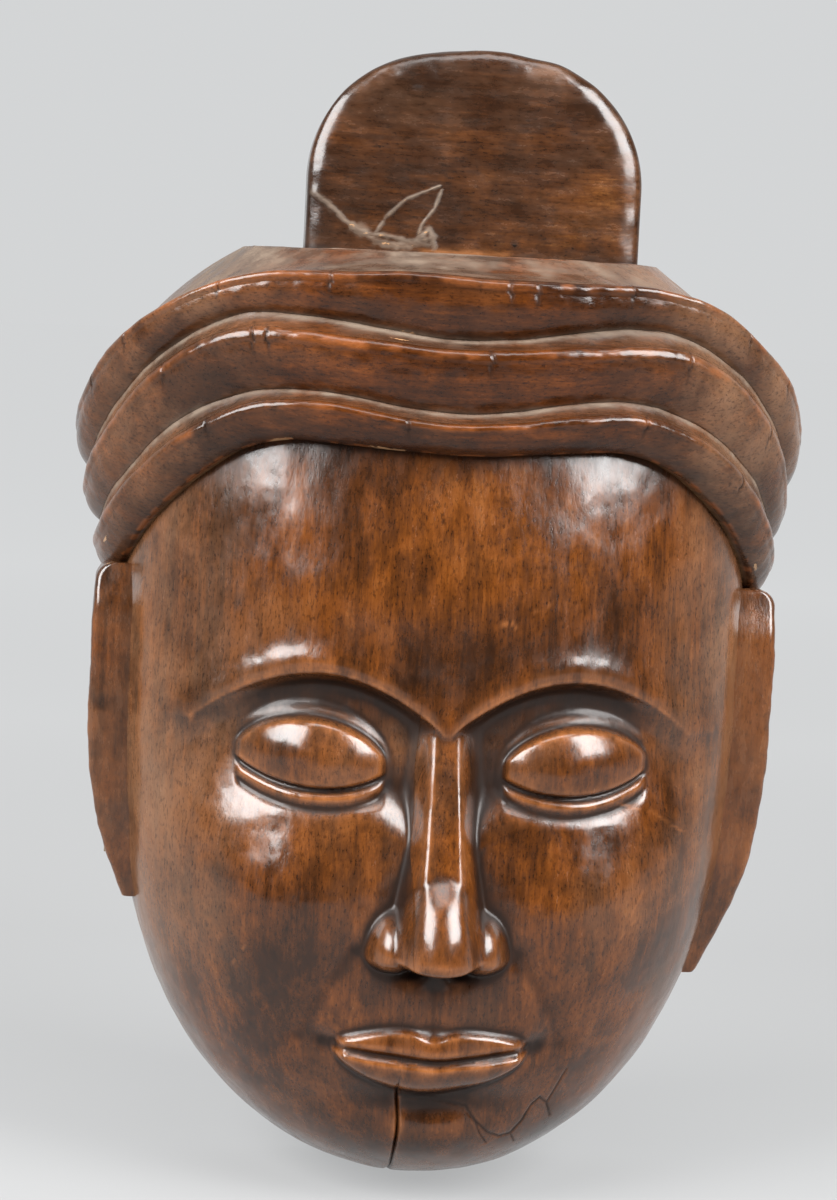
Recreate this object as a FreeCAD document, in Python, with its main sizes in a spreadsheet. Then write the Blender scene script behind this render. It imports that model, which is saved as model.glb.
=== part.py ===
"""Carved wooden wall mask: two hollowed face boards, three stepped hair bands, a crown block with a
topknot board, two ear strips, and the dowels, battens, cramps and ring hanger that hold it together.

Millimetres. +Z is up, the face looks along -Y and the wall side is +Y. Heights in the dimension sheet
are above the chin. Every piece is placed so that the origin is on the back of the crown block, where
the mask lies against the wall.
"""
import FreeCAD, Part
import math
import os

import Sketcher

Vector = FreeCAD.Vector
UP, SIDEWAYS, TO_WALL, TO_FRONT = Vector(0, 0, 1), Vector(1, 0, 0), Vector(0, 1, 0), Vector(0, -1, 0)

DIMENSIONS = {
    # the whole mask
    "mask_height": 560, "mount_height": 446, "oval_power": 2.4,
    # egg-shaped shell of the face
    "face_half_width": 158, "face_widest_height": 250, "face_depth": 128, "face_deepest_height": 200,
    "face_narrowing_height": 400, "face_receding_height": 330,
    "face_top": 398, "chin_flat_half_width": 15, "chin_flat_depth": 34, "wall_thickness": 25,
    "joint_offset": -14,
    # features of the plain face
    "brow_height": 245, "eye_height": 222, "eye_width": 63, "nose_base_height": 123,
    "nose_projection": 36, "nose_root": 14, "nose_top_drop": 6, "mouth_height": 82,
    "mouth_half_width": 46, "eyelid_depth": 15, "eyelid_half_height": 17, "feature_sink": 6,
    # hollow behind the hair
    "hollow_half_width": 124, "hollow_depth": 80, "hollow_ceiling": 430,
    # crown and topknot
    "crown_half_width": 100, "crown_depth": 82, "crown_top": 461, "crown_corner": 42,
    "crown_crest_radius": 230, "crown_rounding": 3, "band_top_share": 0.55,
    "band_top_depth_share": 0.64, "band_top_rise": 10,
    "band_shoulder_share": 0.8, "band_shoulder_centre": 453, "band_shoulder_fall": 28,
    "topknot_half_width": 82, "topknot_shoulder": 62, "topknot_top_radius": 150,
    "topknot_thickness": 24, "topknot_back": 26, "topknot_rounding": 6, "topknot_offset": 8,
    # ear strips
    "ear_top": 303, "ear_left_bottom": 136, "ear_right_bottom": 106, "ear_stand_off": 12,
    "ear_front": 50, "ear_back": 6, "ear_let_in": 24,
    # wooden dowels and pegs
    "dowel_radius": 6, "peg_radius": 4, "dowel_length": 60, "peg_length": 28,
    "topknot_dowel_spacing": 90, "topknot_dowel_length": 50, "topknot_dowel_depth": 24,
    "hair_dowel_side": 75, "hair_dowel_front": 91, "hair_dowel_foot": 368, "hair_dowel_length": 68,
    "crown_dowel_front": 24, "crown_dowel_height": 437, "crown_dowel_length": 36,
    "crown_dowel_inset": 22, "ear_peg_front": 28, "ear_peg_length": 22, "ear_peg_inset": 14,
    # battens let into the back
    "batten_thickness": 20, "batten_recess": 12, "batten_width": 40,
    "upper_batten_half_length": 140, "upper_batten_height": 350,
    "lower_batten_half_length": 122, "lower_batten_height": 92,
    "screw_radius": 2, "screw_head_radius": 4, "screw_length": 42, "screw_inset": 7,
    "screw_point_length": 6, "screw_point_radius": 0.3,
    # iron cramps across the face joint
    "cramp_length": 56, "cramp_width": 8, "cramp_thickness": 3, "cramp_leg": 14,
    "cramp_stand_off": 5,
    # ring hanger
    "plate_width": 14, "plate_length": 32, "plate_thickness": 1.5, "knuckle_radius": 3.3,
    "ring_wire_radius": 1.6, "ring_clearance": 0.08, "ring_half_width": 12, "ring_drop": 14,
    "ring_corner": 4, "hanger_screw_length": 16, "hanger_drop": 5, "knuckle_sink": 0.4,
    # nail at the foot of the topknot
    "nail_radius": 1.2, "nail_length": 36, "nail_side": 20, "nail_rise": 7, "nail_slant_degrees": 28,
}
FACE_DOWEL_HEIGHTS = (62, 165, 300)
EAR_PEG_HEIGHTS = (160, 262)
# Cutting shapes run past the surfaces they open by this much.
OVERRUN = 1
CRAMP_HEIGHTS = (150, 250)
HANGER_SCREW_DROPS = (10, 26)
# Height of the two screws at each end of a batten, as shares of its width.
BATTEN_SCREW_RISES = (0.27, 0.73)
# Where the pegs of the lowest band start on each side: distance out, distance forward, height.
BAND_PEG_PLACES = ((50, 121, 379), (100, 106, 377))

# Edges of the hair bands, each a wavy line round the head: half width and depth of its plan, then its
# height at the centre, at the crest each side and at its ends, where the crest is as a share of the
# half width, and how square the fall to the end is.
HAIR_LINES = {
    "upper_ridge": (184, 126, 450, 450, 368, 0.42, 0.60),
    "upper_crease": (175, 119, 421, 429, 346, 0.50, 0.68),
    "middle_ridge": (179, 131, 415, 420, 335, 0.50, 0.68),
    "middle_crease": (169, 123, 386, 395, 320, 0.45, 0.68),
    "lower_ridge": (173, 135, 381, 388, 309, 0.44, 0.75),
    "hairline": (162, 124, 368, 372, 293, 0.45, 0.80),
}
HAIR_COLUMNS = ("half_width", "depth", "centre", "crest", "end", "crest_share", "fall")
for line_name, values in HAIR_LINES.items():
    for column, value in zip(HAIR_COLUMNS, values):
        DIMENSIONS[line_name + "_" + column] = value

BAND_TURNS = (-90, -85, -78, -70, -61, -52, -43, -34, -25, -16, -8, 0,
              8, 16, 25, 34, 43, 52, 61, 70, 78, 85, 90)
FACE_TURNS = range(-90, 91, 10)

# Levels at which the face and its hollow are drawn: below the widest place they are spaced by angles,
# closer together towards the chin, and above it they are heights.
FACE_LEVEL_ANGLES = range(14, 91, 8)
HOLLOW_LEVEL_ANGLES = range(16, 91, 10)
UPPER_LEVELS = (290, 330, 365)
# The hollow is at least this far across and deep, and runs out behind the back by as much.
HOLLOW_LEAST = 6
# Near the chin the hollow takes its depth from the face at this share of its height.
HOLLOW_LIFT = 0.8
# The nose from base to top: share of its height, share of its projection, half width.
NOSE_STATIONS = ((0.0, 0.95, 27), (0.10, 1.0, 28), (0.3, 0.80, 22), (0.65, 0.42, 13), (1.0, 0.1, 11))
# The two lips: height above the mouth line, depth, half height.
LIPS = ((6, 15, 8), (-7, 16, 9))
# The ear strips stand off the head by a growing share, which is full at half height.
EAR_LEVELS = 6
EAR_FOOT_ANGLE = 15

doc = FreeCAD.newDocument("wall_mask")
sheet = doc.addObject("Spreadsheet::Sheet", "dimensions")
for row, (alias, value) in enumerate(DIMENSIONS.items(), start=1):
    sheet.set("A%d" % row, alias)
    sheet.set("B%d" % row, str(value))
    sheet.setAlias("B%d" % row, alias)
doc.recompute()

parts = []
at_mount = FreeCAD.Placement(Vector(0, 0, -sheet.mount_height), FreeCAD.Rotation())


def bind(item, **sizes):
    """Bind properties of an object to cells of the sheet or formulas of them."""
    for name, formula in sizes.items():
        item.setExpression(name, formula)


def keep(item, label):
    """Name a sub-part and move it from chin heights to the mount."""
    item.Label = label
    item.Placement = at_mount.multiply(item.Placement)
    parts.append(item)
    return item


def keep_shape(shape, label):
    item = doc.addObject("Part::Feature", label)
    item.Shape = shape
    return keep(item, label)


# ---------------------------------------------------------------- curves and envelopes

def oval(turn_degrees):
    """Sideways and forward share of a half oval, at an angle from straight ahead."""
    turn = math.radians(turn_degrees)
    share = 2 / sheet.oval_power
    side = math.copysign(abs(math.sin(turn)) ** share, turn)
    forward = max(math.cos(turn), 0) ** share if abs(turn_degrees) < 90 else 0
    return side, forward


def hair_value(line, column):
    return sheet.get(line + "_" + column)


def hair_height(line, side):
    """Height of a hair line: a shallow dip at the centre, a crest, then a fall to the end."""
    centre, crest, end, crest_share, fall = (hair_value(line, column) for column in HAIR_COLUMNS[2:])
    side = abs(side)
    if side < crest_share:
        return centre + (crest - centre) * (1 - math.cos(math.pi * side / crest_share)) / 2
    beyond = (side - crest_share) / (1 - crest_share)
    return end + (crest - end) * max(1 - beyond ** 2, 0) ** fall


def hair_point(line, turn):
    side, forward = oval(turn)
    return Vector(hair_value(line, "half_width") * side, -hair_value(line, "depth") * forward,
                  hair_height(line, side))


def hollow_point(line, turn):
    """The point of the hollow's wall level with a hair line."""
    side, forward = oval(turn)
    return Vector(sheet.hollow_half_width * side, -sheet.hollow_depth * forward,
                  hair_height(line, side))


def band_solid(corners):
    """Loft a hair band round the head from its cross-section at each angle."""
    sections = []
    for turn in BAND_TURNS:
        points = [corner(turn) for corner in corners]
        sections.append(Part.makePolygon(points + points[:1]))
    return Part.makeLoft(sections, True, False)


def face_half_width(height):
    widest = sheet.face_widest_height
    if height < widest:
        fall = (widest - height) / widest
    else:
        fall = (height - widest) / sheet.face_narrowing_height
    return sheet.face_half_width * (1 - fall ** 2.5) ** (1 / 2.1)


def face_depth(height):
    deepest = sheet.face_deepest_height
    if height < deepest:
        return sheet.face_depth * (1 - ((deepest - height) / deepest) ** 4) ** (1 / 2.6)
    return sheet.face_depth * (1 - ((height - deepest) / sheet.face_receding_height) ** 2.5) ** (1 / 2.2)


def oval_section(half_width, depth, height, back):
    """Closed half oval at one height, carried back beyond the wall plane by a given amount."""
    points = []
    for turn in FACE_TURNS:
        side, forward = oval(turn)
        points.append(Vector(half_width * side, -depth * forward, height))
    curve = Part.BSplineCurve()
    curve.interpolate(points)
    left_back = points[0] + Vector(0, back, 0)
    right_back = points[-1] + Vector(0, back, 0)
    edges = [curve.toShape()]
    if back > 0:
        edges.append(Part.LineSegment(points[-1], right_back).toShape())
        edges.append(Part.LineSegment(right_back, left_back).toShape())
        edges.append(Part.LineSegment(left_back, points[0]).toShape())
    else:
        edges.append(Part.LineSegment(points[-1], points[0]).toShape())
    return Part.Wire(edges)


def face_envelope():
    """Outside of the face: an egg cut flat at the back, with a small flat under the chin."""
    sections = [oval_section(sheet.chin_flat_half_width, sheet.chin_flat_depth, 0, 0)]
    heights = [sheet.face_widest_height * (1 - math.cos(math.radians(angle)))
               for angle in FACE_LEVEL_ANGLES]
    heights += [*UPPER_LEVELS, sheet.face_top]
    for height in heights:
        sections.append(oval_section(face_half_width(height), face_depth(height), height, 0))
    return Part.makeLoft(sections, True, False)


def face_hollow():
    """Hollow behind the face, one wall thickness inside it and open at the back."""
    wall = sheet.wall_thickness
    sections = []
    heights = [wall + (sheet.face_widest_height - wall) * (1 - math.cos(math.radians(angle)))
               for angle in HOLLOW_LEVEL_ANGLES]
    heights += [*UPPER_LEVELS, sheet.face_top + OVERRUN]
    for height in heights:
        share = min((height - wall) / (sheet.face_widest_height - wall), 1)
        level = share * sheet.face_widest_height if share < 1 else height
        half_width = max(face_half_width(level) - wall, HOLLOW_LEAST)
        depth = max(face_depth(max(level, height * HOLLOW_LIFT)) - wall, HOLLOW_LEAST)
        sections.append(oval_section(half_width, depth, height, HOLLOW_LEAST))
    return Part.makeLoft(sections, True, False)


def ellipsoid(centre, half_width, depth, half_height):
    matrix = FreeCAD.Matrix()
    matrix.scale(half_width, depth, half_height)
    shape = Part.makeSphere(1).transformGeometry(matrix)
    shape.translate(centre)
    return shape


def face_surface(side, height):
    """Y of the plain face at a distance from the centre line."""
    power = sheet.oval_power
    share = min(abs(side) / face_half_width(height), 1)
    return -face_depth(height) * (1 - share ** power) ** (1 / power)


def nose():
    """Wedge from between the brows to a rounded tip above the upper lip."""
    base = sheet.nose_base_height
    top = sheet.brow_height - sheet.nose_top_drop
    sections = []
    for share, projection, half_width in NOSE_STATIONS:
        height = base + share * (top - base)
        root = face_surface(0, height) + sheet.nose_root
        tip = face_surface(0, height) - sheet.nose_projection * projection
        points = []
        for turn in FACE_TURNS:
            side, forward = math.sin(math.radians(turn)), math.cos(math.radians(turn))
            points.append(Vector(half_width * side, root + (tip - root) * max(forward, 0), height))
        curve = Part.BSplineCurve()
        curve.interpolate(points)
        closing = Part.LineSegment(Vector(half_width, root, height), Vector(-half_width, root, height))
        sections.append(Part.Wire([curve.toShape(), closing.toShape()]))
    return Part.makeLoft(sections, True, False)


def eyelids_and_lips():
    """Closed eyelid mounds one eye width apart, and two lips."""
    width = sheet.eye_width
    shapes = []
    for side in (-1, 1):
        centre = Vector(side * width, face_surface(width, sheet.eye_height) + sheet.feature_sink,
                        sheet.eye_height)
        shapes.append(ellipsoid(centre, width / 2, sheet.eyelid_depth, sheet.eyelid_half_height))
    for offset, depth, half_height in LIPS:
        height = sheet.mouth_height + offset
        centre = Vector(0, face_surface(0, height) + sheet.feature_sink, height)
        shapes.append(ellipsoid(centre, sheet.mouth_half_width, depth, half_height))
    return shapes


def cylinder(start, direction, radius, length):
    return Part.makeCylinder(radius, length, start, direction)


# ---------------------------------------------------------------- dowels, pegs and nail

def dowel_group(starts, direction, radius, length):
    return Part.makeCompound([cylinder(start, direction, radius, length) for start in starts])


face_dowels = dowel_group(
    [Vector(sheet.joint_offset - sheet.dowel_length / 2, -(face_depth(height) - sheet.wall_thickness / 2),
            height) for height in FACE_DOWEL_HEIGHTS],
    SIDEWAYS, sheet.dowel_radius, sheet.dowel_length)

hair_dowels = dowel_group(
    [Vector(side * sheet.hair_dowel_side, -sheet.hair_dowel_front, sheet.hair_dowel_foot)
     for side in (-1, 1)],
    UP, sheet.dowel_radius, sheet.hair_dowel_length)

band_pegs = dowel_group(
    [Vector(side * out, -forward, height) for side in (-1, 1)
     for out, forward, height in BAND_PEG_PLACES],
    TO_WALL, sheet.peg_radius, sheet.peg_length)

topknot_middle = -(sheet.topknot_back + sheet.topknot_thickness / 2)
topknot_dowels = dowel_group(
    [Vector(sheet.topknot_offset + side * sheet.topknot_dowel_spacing / 2, topknot_middle,
            sheet.crown_top - sheet.topknot_dowel_depth) for side in (-1, 1)],
    UP, sheet.dowel_radius, sheet.topknot_dowel_length)

crown_dowels = Part.makeCompound(
    [cylinder(Vector(side * (sheet.crown_half_width - sheet.crown_dowel_inset),
                     -sheet.crown_dowel_front, sheet.crown_dowel_height),
              SIDEWAYS * side, sheet.peg_radius, sheet.crown_dowel_length) for side in (-1, 1)])

ear_pegs = Part.makeCompound(
    [cylinder(Vector(side * (face_half_width(height) - sheet.ear_peg_inset), -sheet.ear_peg_front,
                     height), SIDEWAYS * side, sheet.peg_radius, sheet.ear_peg_length)
     for side in (-1, 1) for height in EAR_PEG_HEIGHTS])

nail_slant = math.radians(sheet.nail_slant_degrees)
nail_direction = Vector(0, math.sin(nail_slant), -math.cos(nail_slant))
nail_head = Vector(sheet.topknot_offset + sheet.nail_side,
                   topknot_middle - sheet.topknot_thickness / 2, sheet.crown_top + sheet.nail_rise)
topknot_nail = cylinder(nail_head, nail_direction, sheet.nail_radius, sheet.nail_length)

# ---------------------------------------------------------------- battens, screws, cramps, hanger


def screw(head_centre, direction, length):
    """Countersunk wood screw, its flat head at head_centre."""
    head_depth = sheet.screw_head_radius - sheet.screw_radius
    head = Part.makeCone(sheet.screw_head_radius, sheet.screw_radius, head_depth, head_centre, direction)
    shank_length = length - sheet.screw_point_length
    shank = cylinder(head_centre, direction, sheet.screw_radius, shank_length)
    point = Part.makeCone(sheet.screw_radius, sheet.screw_point_radius, sheet.screw_point_length,
                          head_centre + direction * shank_length, direction)
    return head.fuse(shank).fuse(point).removeSplitter()


batten_back = -sheet.batten_recess


def batten_screws(half_length, height):
    shapes = []
    for side in (-1, 1):
        for rise in BATTEN_SCREW_RISES:
            place = Vector(side * (half_length - sheet.screw_inset), batten_back,
                           height + rise * sheet.batten_width)
            shapes.append(screw(place, TO_FRONT, sheet.screw_length))
    return Part.makeCompound(shapes)


def batten_box(half_length, height, back):
    """Room for a batten, from its front face to a level behind it."""
    front = batten_back - sheet.batten_thickness
    return Part.makeBox(2 * half_length, back - front, sheet.batten_width,
                        Vector(-half_length, front, height))


upper_batten_screws = batten_screws(sheet.upper_batten_half_length, sheet.upper_batten_height)
lower_batten_screws = batten_screws(sheet.lower_batten_half_length, sheet.lower_batten_height)
upper_housing = batten_box(sheet.upper_batten_half_length, sheet.upper_batten_height, OVERRUN)
lower_housing = batten_box(sheet.lower_batten_half_length, sheet.lower_batten_height, OVERRUN)


def cramp(height):
    """Flat iron bar across the joint with a leg driven into each board."""
    half = sheet.cramp_length / 2
    inner_face = -(face_depth(height) - sheet.wall_thickness) + sheet.cramp_stand_off
    bar = Part.makeBox(2 * half, sheet.cramp_thickness, sheet.cramp_width,
                       Vector(sheet.joint_offset - half, inner_face, height))
    for side in (-1, 1):
        leg_centre = sheet.joint_offset + side * (half - sheet.cramp_thickness / 2)
        leg = Part.makeBox(sheet.cramp_thickness, sheet.cramp_leg, sheet.cramp_width,
                           Vector(leg_centre - sheet.cramp_thickness / 2, inner_face - sheet.cramp_leg,
                                  height))
        bar = bar.fuse(leg)
    return bar.removeSplitter()


joint_cramps = Part.makeCompound([cramp(height) for height in CRAMP_HEIGHTS])

hanger_axis = Vector(0, batten_back + sheet.plate_thickness + sheet.knuckle_radius - sheet.knuckle_sink,
                     sheet.upper_batten_height + sheet.batten_width - sheet.hanger_drop)
bore_radius = sheet.ring_wire_radius + sheet.ring_clearance


def hanger_plate_solid():
    """Strap lying on the batten, rolled at its top into a knuckle round the ring."""
    half = sheet.plate_width / 2
    strap = Part.makeBox(sheet.plate_width, sheet.plate_thickness, sheet.plate_length,
                         Vector(-half, batten_back, hanger_axis.z - sheet.plate_length))
    knuckle = cylinder(hanger_axis - SIDEWAYS * half, SIDEWAYS, sheet.knuckle_radius, sheet.plate_width)
    bore = cylinder(hanger_axis - SIDEWAYS * half, SIDEWAYS, bore_radius, sheet.plate_width)
    return strap.fuse(knuckle).cut(bore).removeSplitter()


def hanger_ring_solid():
    """Ring bent from one wire: a straight pin in the knuckle, two sides and a half circle below."""
    half = sheet.ring_half_width
    corner = sheet.ring_corner
    centre = hanger_axis
    low = centre - UP * sheet.ring_drop

    def at(x, z):
        return Vector(x, centre.y, z)

    bend = corner * (1 - math.sqrt(0.5))
    edges = [
        Part.LineSegment(at(0, centre.z), at(half - corner, centre.z)).toShape(),
        Part.Arc(at(half - corner, centre.z), at(half - bend, centre.z - bend),
                 at(half, centre.z - corner)).toShape(),
        Part.LineSegment(at(half, centre.z - corner), at(half, low.z)).toShape(),
        Part.Arc(at(half, low.z), at(0, low.z - half), at(-half, low.z)).toShape(),
        Part.LineSegment(at(-half, low.z), at(-half, centre.z - corner)).toShape(),
        Part.Arc(at(-half, centre.z - corner), at(-half + bend, centre.z - bend),
                 at(-half + corner, centre.z)).toShape(),
        Part.LineSegment(at(-half + corner, centre.z), at(0, centre.z)).toShape(),
    ]
    profile = Part.Wire(Part.makeCircle(sheet.ring_wire_radius, at(0, centre.z), SIDEWAYS))
    return Part.Wire(edges).makePipeShell([profile], True, False)


hanger_screws = Part.makeCompound(
    [screw(Vector(0, batten_back + sheet.plate_thickness, hanger_axis.z - drop), TO_FRONT,
           sheet.hanger_screw_length) for drop in HANGER_SCREW_DROPS])

# ---------------------------------------------------------------- hair bands and face boards

JOINT_OVERRUN = 3


def ridge_plan(share, depth_share, turn, height):
    """A point above the plan of the upper ridge, scaled towards the centre of the crown."""
    side, forward = oval(turn)
    return Vector(hair_value("upper_ridge", "half_width") * share * side,
                  -hair_value("upper_ridge", "depth") * depth_share * forward, height)


def band_shoulder(turn):
    fall = sheet.band_shoulder_fall * abs(oval(turn)[0]) ** 3
    return ridge_plan(sheet.band_shoulder_share, sheet.band_shoulder_share, turn,
                      sheet.band_shoulder_centre - fall)


def band_top(turn):
    height = hair_value("upper_ridge", "centre") + sheet.band_top_rise
    return ridge_plan(sheet.band_top_share, sheet.band_top_depth_share, turn, height)


def band_top_underside(turn):
    return ridge_plan(sheet.band_top_share, sheet.band_top_share, turn, sheet.hollow_ceiling)


def hollow_ceiling(turn):
    side, forward = oval(turn)
    return Vector(sheet.hollow_half_width * side, -sheet.hollow_depth * forward, sheet.hollow_ceiling)


def on_line(line, rise=0):
    return lambda turn: hair_point(line, turn) + UP * rise


def in_hollow(line, rise=0):
    return lambda turn: hollow_point(line, turn) + UP * rise


def above(line):
    """Everything above the joint that runs in from a hair line, to divide neighbouring bands."""
    inner_share, outer_share, top = 0.45, 1.06, 480

    def corner(share, height=None):
        def place(turn):
            side, forward = oval(turn)
            level = hair_height(line, side) if height is None else height
            return Vector(hair_value(line, "half_width") * share * side,
                          -hair_value(line, "depth") * share * forward, level)
        return place

    return band_solid([corner(inner_share), corner(outer_share), corner(outer_share, top),
                       corner(inner_share, top)])


above_middle = above("middle_crease")
above_upper = above("upper_crease")

face_outside = face_envelope()
carved_face = face_outside
for feature in [nose()] + eyelids_and_lips():
    carved_face = carved_face.fuse(feature)
shell = carved_face.cut(face_hollow()).cut(above_middle)
shell = shell.cut(lower_housing).cut(face_dowels).cut(hair_dowels).cut(band_pegs)
shell = shell.cut(lower_batten_screws).cut(joint_cramps).cut(ear_pegs)

lower_band = band_solid([on_line("hairline"), on_line("lower_ridge"),
                         on_line("middle_crease", JOINT_OVERRUN),
                         in_hollow("middle_crease", JOINT_OVERRUN), in_hollow("hairline")])
lower_band = lower_band.cut(above_middle).cut(face_outside)
middle_band = band_solid([on_line("middle_crease", -JOINT_OVERRUN), on_line("middle_ridge"),
                          on_line("upper_crease", JOINT_OVERRUN),
                          in_hollow("upper_crease", JOINT_OVERRUN),
                          in_hollow("middle_crease", -JOINT_OVERRUN)])
middle_band = middle_band.common(above_middle).cut(above_upper)
upper_band = band_solid([on_line("upper_crease", -JOINT_OVERRUN), on_line("upper_ridge"),
                         band_shoulder, band_top, band_top_underside, hollow_ceiling,
                         in_hollow("upper_crease", -JOINT_OVERRUN)])
upper_band = upper_band.common(above_upper)


def face_board(side):
    """The part of the shell on one side of the glue joint."""
    reach = 200
    low = sheet.joint_offset if side > 0 else -reach
    high = reach if side > 0 else sheet.joint_offset
    half_space = Part.makeBox(high - low, 2 * reach, sheet.mask_height, Vector(low, 1 - 2 * reach, -1))
    return shell.common(half_space)


keep_shape(face_board(-1), "face_board_left")
keep_shape(face_board(1), "face_board_right")


def ear_strip(side, bottom):
    """Long flat strip standing proud of the side of the face, its top tucked under the hair."""
    top = sheet.ear_top
    outer = []
    for level in range(EAR_LEVELS + 1):
        share = level / EAR_LEVELS
        height = bottom + (top - bottom) * share
        angle = EAR_FOOT_ANGLE + (90 - EAR_FOOT_ANGLE) * min(2 * share, 1)
        stand_off = sheet.ear_stand_off * math.sin(math.radians(angle))
        outer.append(Vector(side * (face_half_width(height) + stand_off), -sheet.ear_back, height))
    curve = Part.BSplineCurve()
    curve.interpolate(outer)
    inner = [Vector(side * (face_half_width(height) - sheet.ear_let_in), -sheet.ear_back, height)
             for height in (top, bottom)]
    wire = Part.Wire([curve.toShape(), Part.LineSegment(outer[-1], inner[0]).toShape(),
                      Part.LineSegment(inner[0], inner[1]).toShape(),
                      Part.LineSegment(inner[1], outer[0]).toShape()])
    strip = Part.Face(wire).extrude(TO_FRONT * (sheet.ear_front - sheet.ear_back))
    return strip.cut(face_outside).cut(lower_band).cut(above_middle).cut(ear_pegs)


keep_shape(ear_strip(-1, sheet.ear_left_bottom), "ear_left")
keep_shape(ear_strip(1, sheet.ear_right_bottom), "ear_right")

# ---------------------------------------------------------------- crown block and topknot board

VERTICAL_AXIS = -2
START, END, CENTRE = 1, 2, 3


def start_body(name, plane_role):
    """A body with one sketch on one of its own origin planes."""
    body = doc.addObject("PartDesign::Body", name)
    sketch = body.newObject("Sketcher::SketchObject", name + "_outline")
    plane = [item for item in body.Origin.OriginFeatures if item.Role == plane_role][0]
    sketch.AttachmentSupport = [(plane, "")]
    sketch.MapMode = "FlatFace"
    return body, sketch


def bound_constraint(sketch, name, formula, *constraint):
    index = sketch.addConstraint(Sketcher.Constraint(*constraint))
    sketch.renameConstraint(index, name)
    sketch.setExpression("Constraints." + name, formula)


def arch_outline(sketch, half_width, corner, crest, crest_radius, foot, names):
    """Flat foot, upright sides, two corner arcs and a shallow crest arc, all tangent."""
    inset = half_width - corner
    crest_centre = crest - crest_radius
    corner_height = crest_centre + math.sqrt((crest_radius - corner) ** 2 - inset ** 2)
    lean = math.atan2(corner_height - crest_centre, inset)

    def arc(x, y, radius, low, high):
        return Part.ArcOfCircle(Part.Circle(Vector(x, y, 0), UP, radius), low, high)

    foot_left, foot_right = Vector(-half_width, foot, 0), Vector(half_width, foot, 0)
    side_left, side_right = Vector(-half_width, corner_height, 0), Vector(half_width, corner_height, 0)
    sketch.addGeometry([
        Part.LineSegment(foot_left, foot_right), Part.LineSegment(foot_right, side_right),
        arc(inset, corner_height, corner, 0, lean),
        arc(0, crest_centre, crest_radius, lean, math.pi - lean),
        arc(-inset, corner_height, corner, math.pi - lean, math.pi),
        Part.LineSegment(side_left, foot_left)], False)
    base, right_side, right_arc, crest_arc, left_arc, left_side = range(6)
    tie = Sketcher.Constraint
    sketch.addConstraint([
        tie("Coincident", base, END, right_side, START), tie("Coincident", left_side, END, base, START),
        tie("Tangent", right_side, END, right_arc, START), tie("Tangent", right_arc, END, crest_arc, START),
        tie("Tangent", crest_arc, END, left_arc, START), tie("Tangent", left_arc, END, left_side, START),
        tie("Horizontal", base), tie("Vertical", right_side), tie("Vertical", left_side),
        tie("PointOnObject", crest_arc, CENTRE, VERTICAL_AXIS), tie("Equal", right_arc, left_arc)])
    bound_constraint(sketch, "width", "2 * dimensions.%s" % names["half_width"],
                     "DistanceX", base, START, base, END, 2 * half_width)
    bound_constraint(sketch, "corner", "dimensions.%s" % names["corner"], "Radius", right_arc, corner)
    bound_constraint(sketch, "crest", "dimensions.%s" % names["crest_radius"],
                     "Radius", crest_arc, crest_radius)
    bound_constraint(sketch, "rise", "dimensions.%s - %s - dimensions.%s"
                     % (names["crest"], names["foot"], names["crest_radius"]),
                     "DistanceY", base, START, crest_arc, CENTRE, crest_centre - foot)
    return base


def finish_body(body, sketch, length_formula, rounding_name, is_rounded):
    """Pad the outline, then round the edges that is_rounded picks."""
    pad = body.newObject("PartDesign::Pad", body.Name + "_pad")
    pad.Profile = sketch
    pad.setExpression("Length", length_formula)
    doc.recompute()
    edges = ["Edge%d" % (i + 1) for i, edge in enumerate(pad.Shape.Edges) if is_rounded(edge)]
    fillet = body.newObject("PartDesign::Fillet", body.Name + "_rounding")
    fillet.Base = (pad, edges)
    fillet.setExpression("Radius", "dimensions." + rounding_name)
    doc.recompute()
    return body


def cut_from(base, tool_shape, label):
    """Cut holes for fasteners out of a piece and keep the result."""
    tool = doc.addObject("Part::Feature", label + "_holes")
    tool.Shape = tool_shape
    cut = doc.addObject("Part::Cut", label + "_cut")
    cut.Base = base
    cut.Tool = tool
    doc.recompute()
    return keep(cut, label)


def make_topknot_board():
    body, sketch = start_body("topknot_body", "XZ_Plane")
    arch_outline(sketch, sheet.topknot_half_width, sheet.topknot_shoulder,
                 sheet.mask_height - sheet.crown_top, sheet.topknot_top_radius, 0,
                 {"half_width": "topknot_half_width", "corner": "topknot_shoulder",
                  "crest": "mask_height", "foot": "dimensions.crown_top",
                  "crest_radius": "topknot_top_radius"})
    centre_on_axes(sketch)

    def front_rim(edge):
        box = edge.BoundBox
        return box.YMax < -sheet.topknot_thickness + 0.1 and box.ZMax > 1

    finish_body(body, sketch, "dimensions.topknot_thickness", "topknot_rounding", front_rim)
    body.Placement.Base = Vector(sheet.topknot_offset, -sheet.topknot_back, sheet.crown_top)
    return cut_from(body, topknot_dowels.fuse(topknot_nail), "topknot_board")


def centre_on_axes(sketch):
    """Set the outline's foot on the sketch's horizontal axis, centred by the crest arc."""
    sketch.addConstraint(Sketcher.Constraint("PointOnObject", 0, START, -1))
    doc.recompute()


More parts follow.
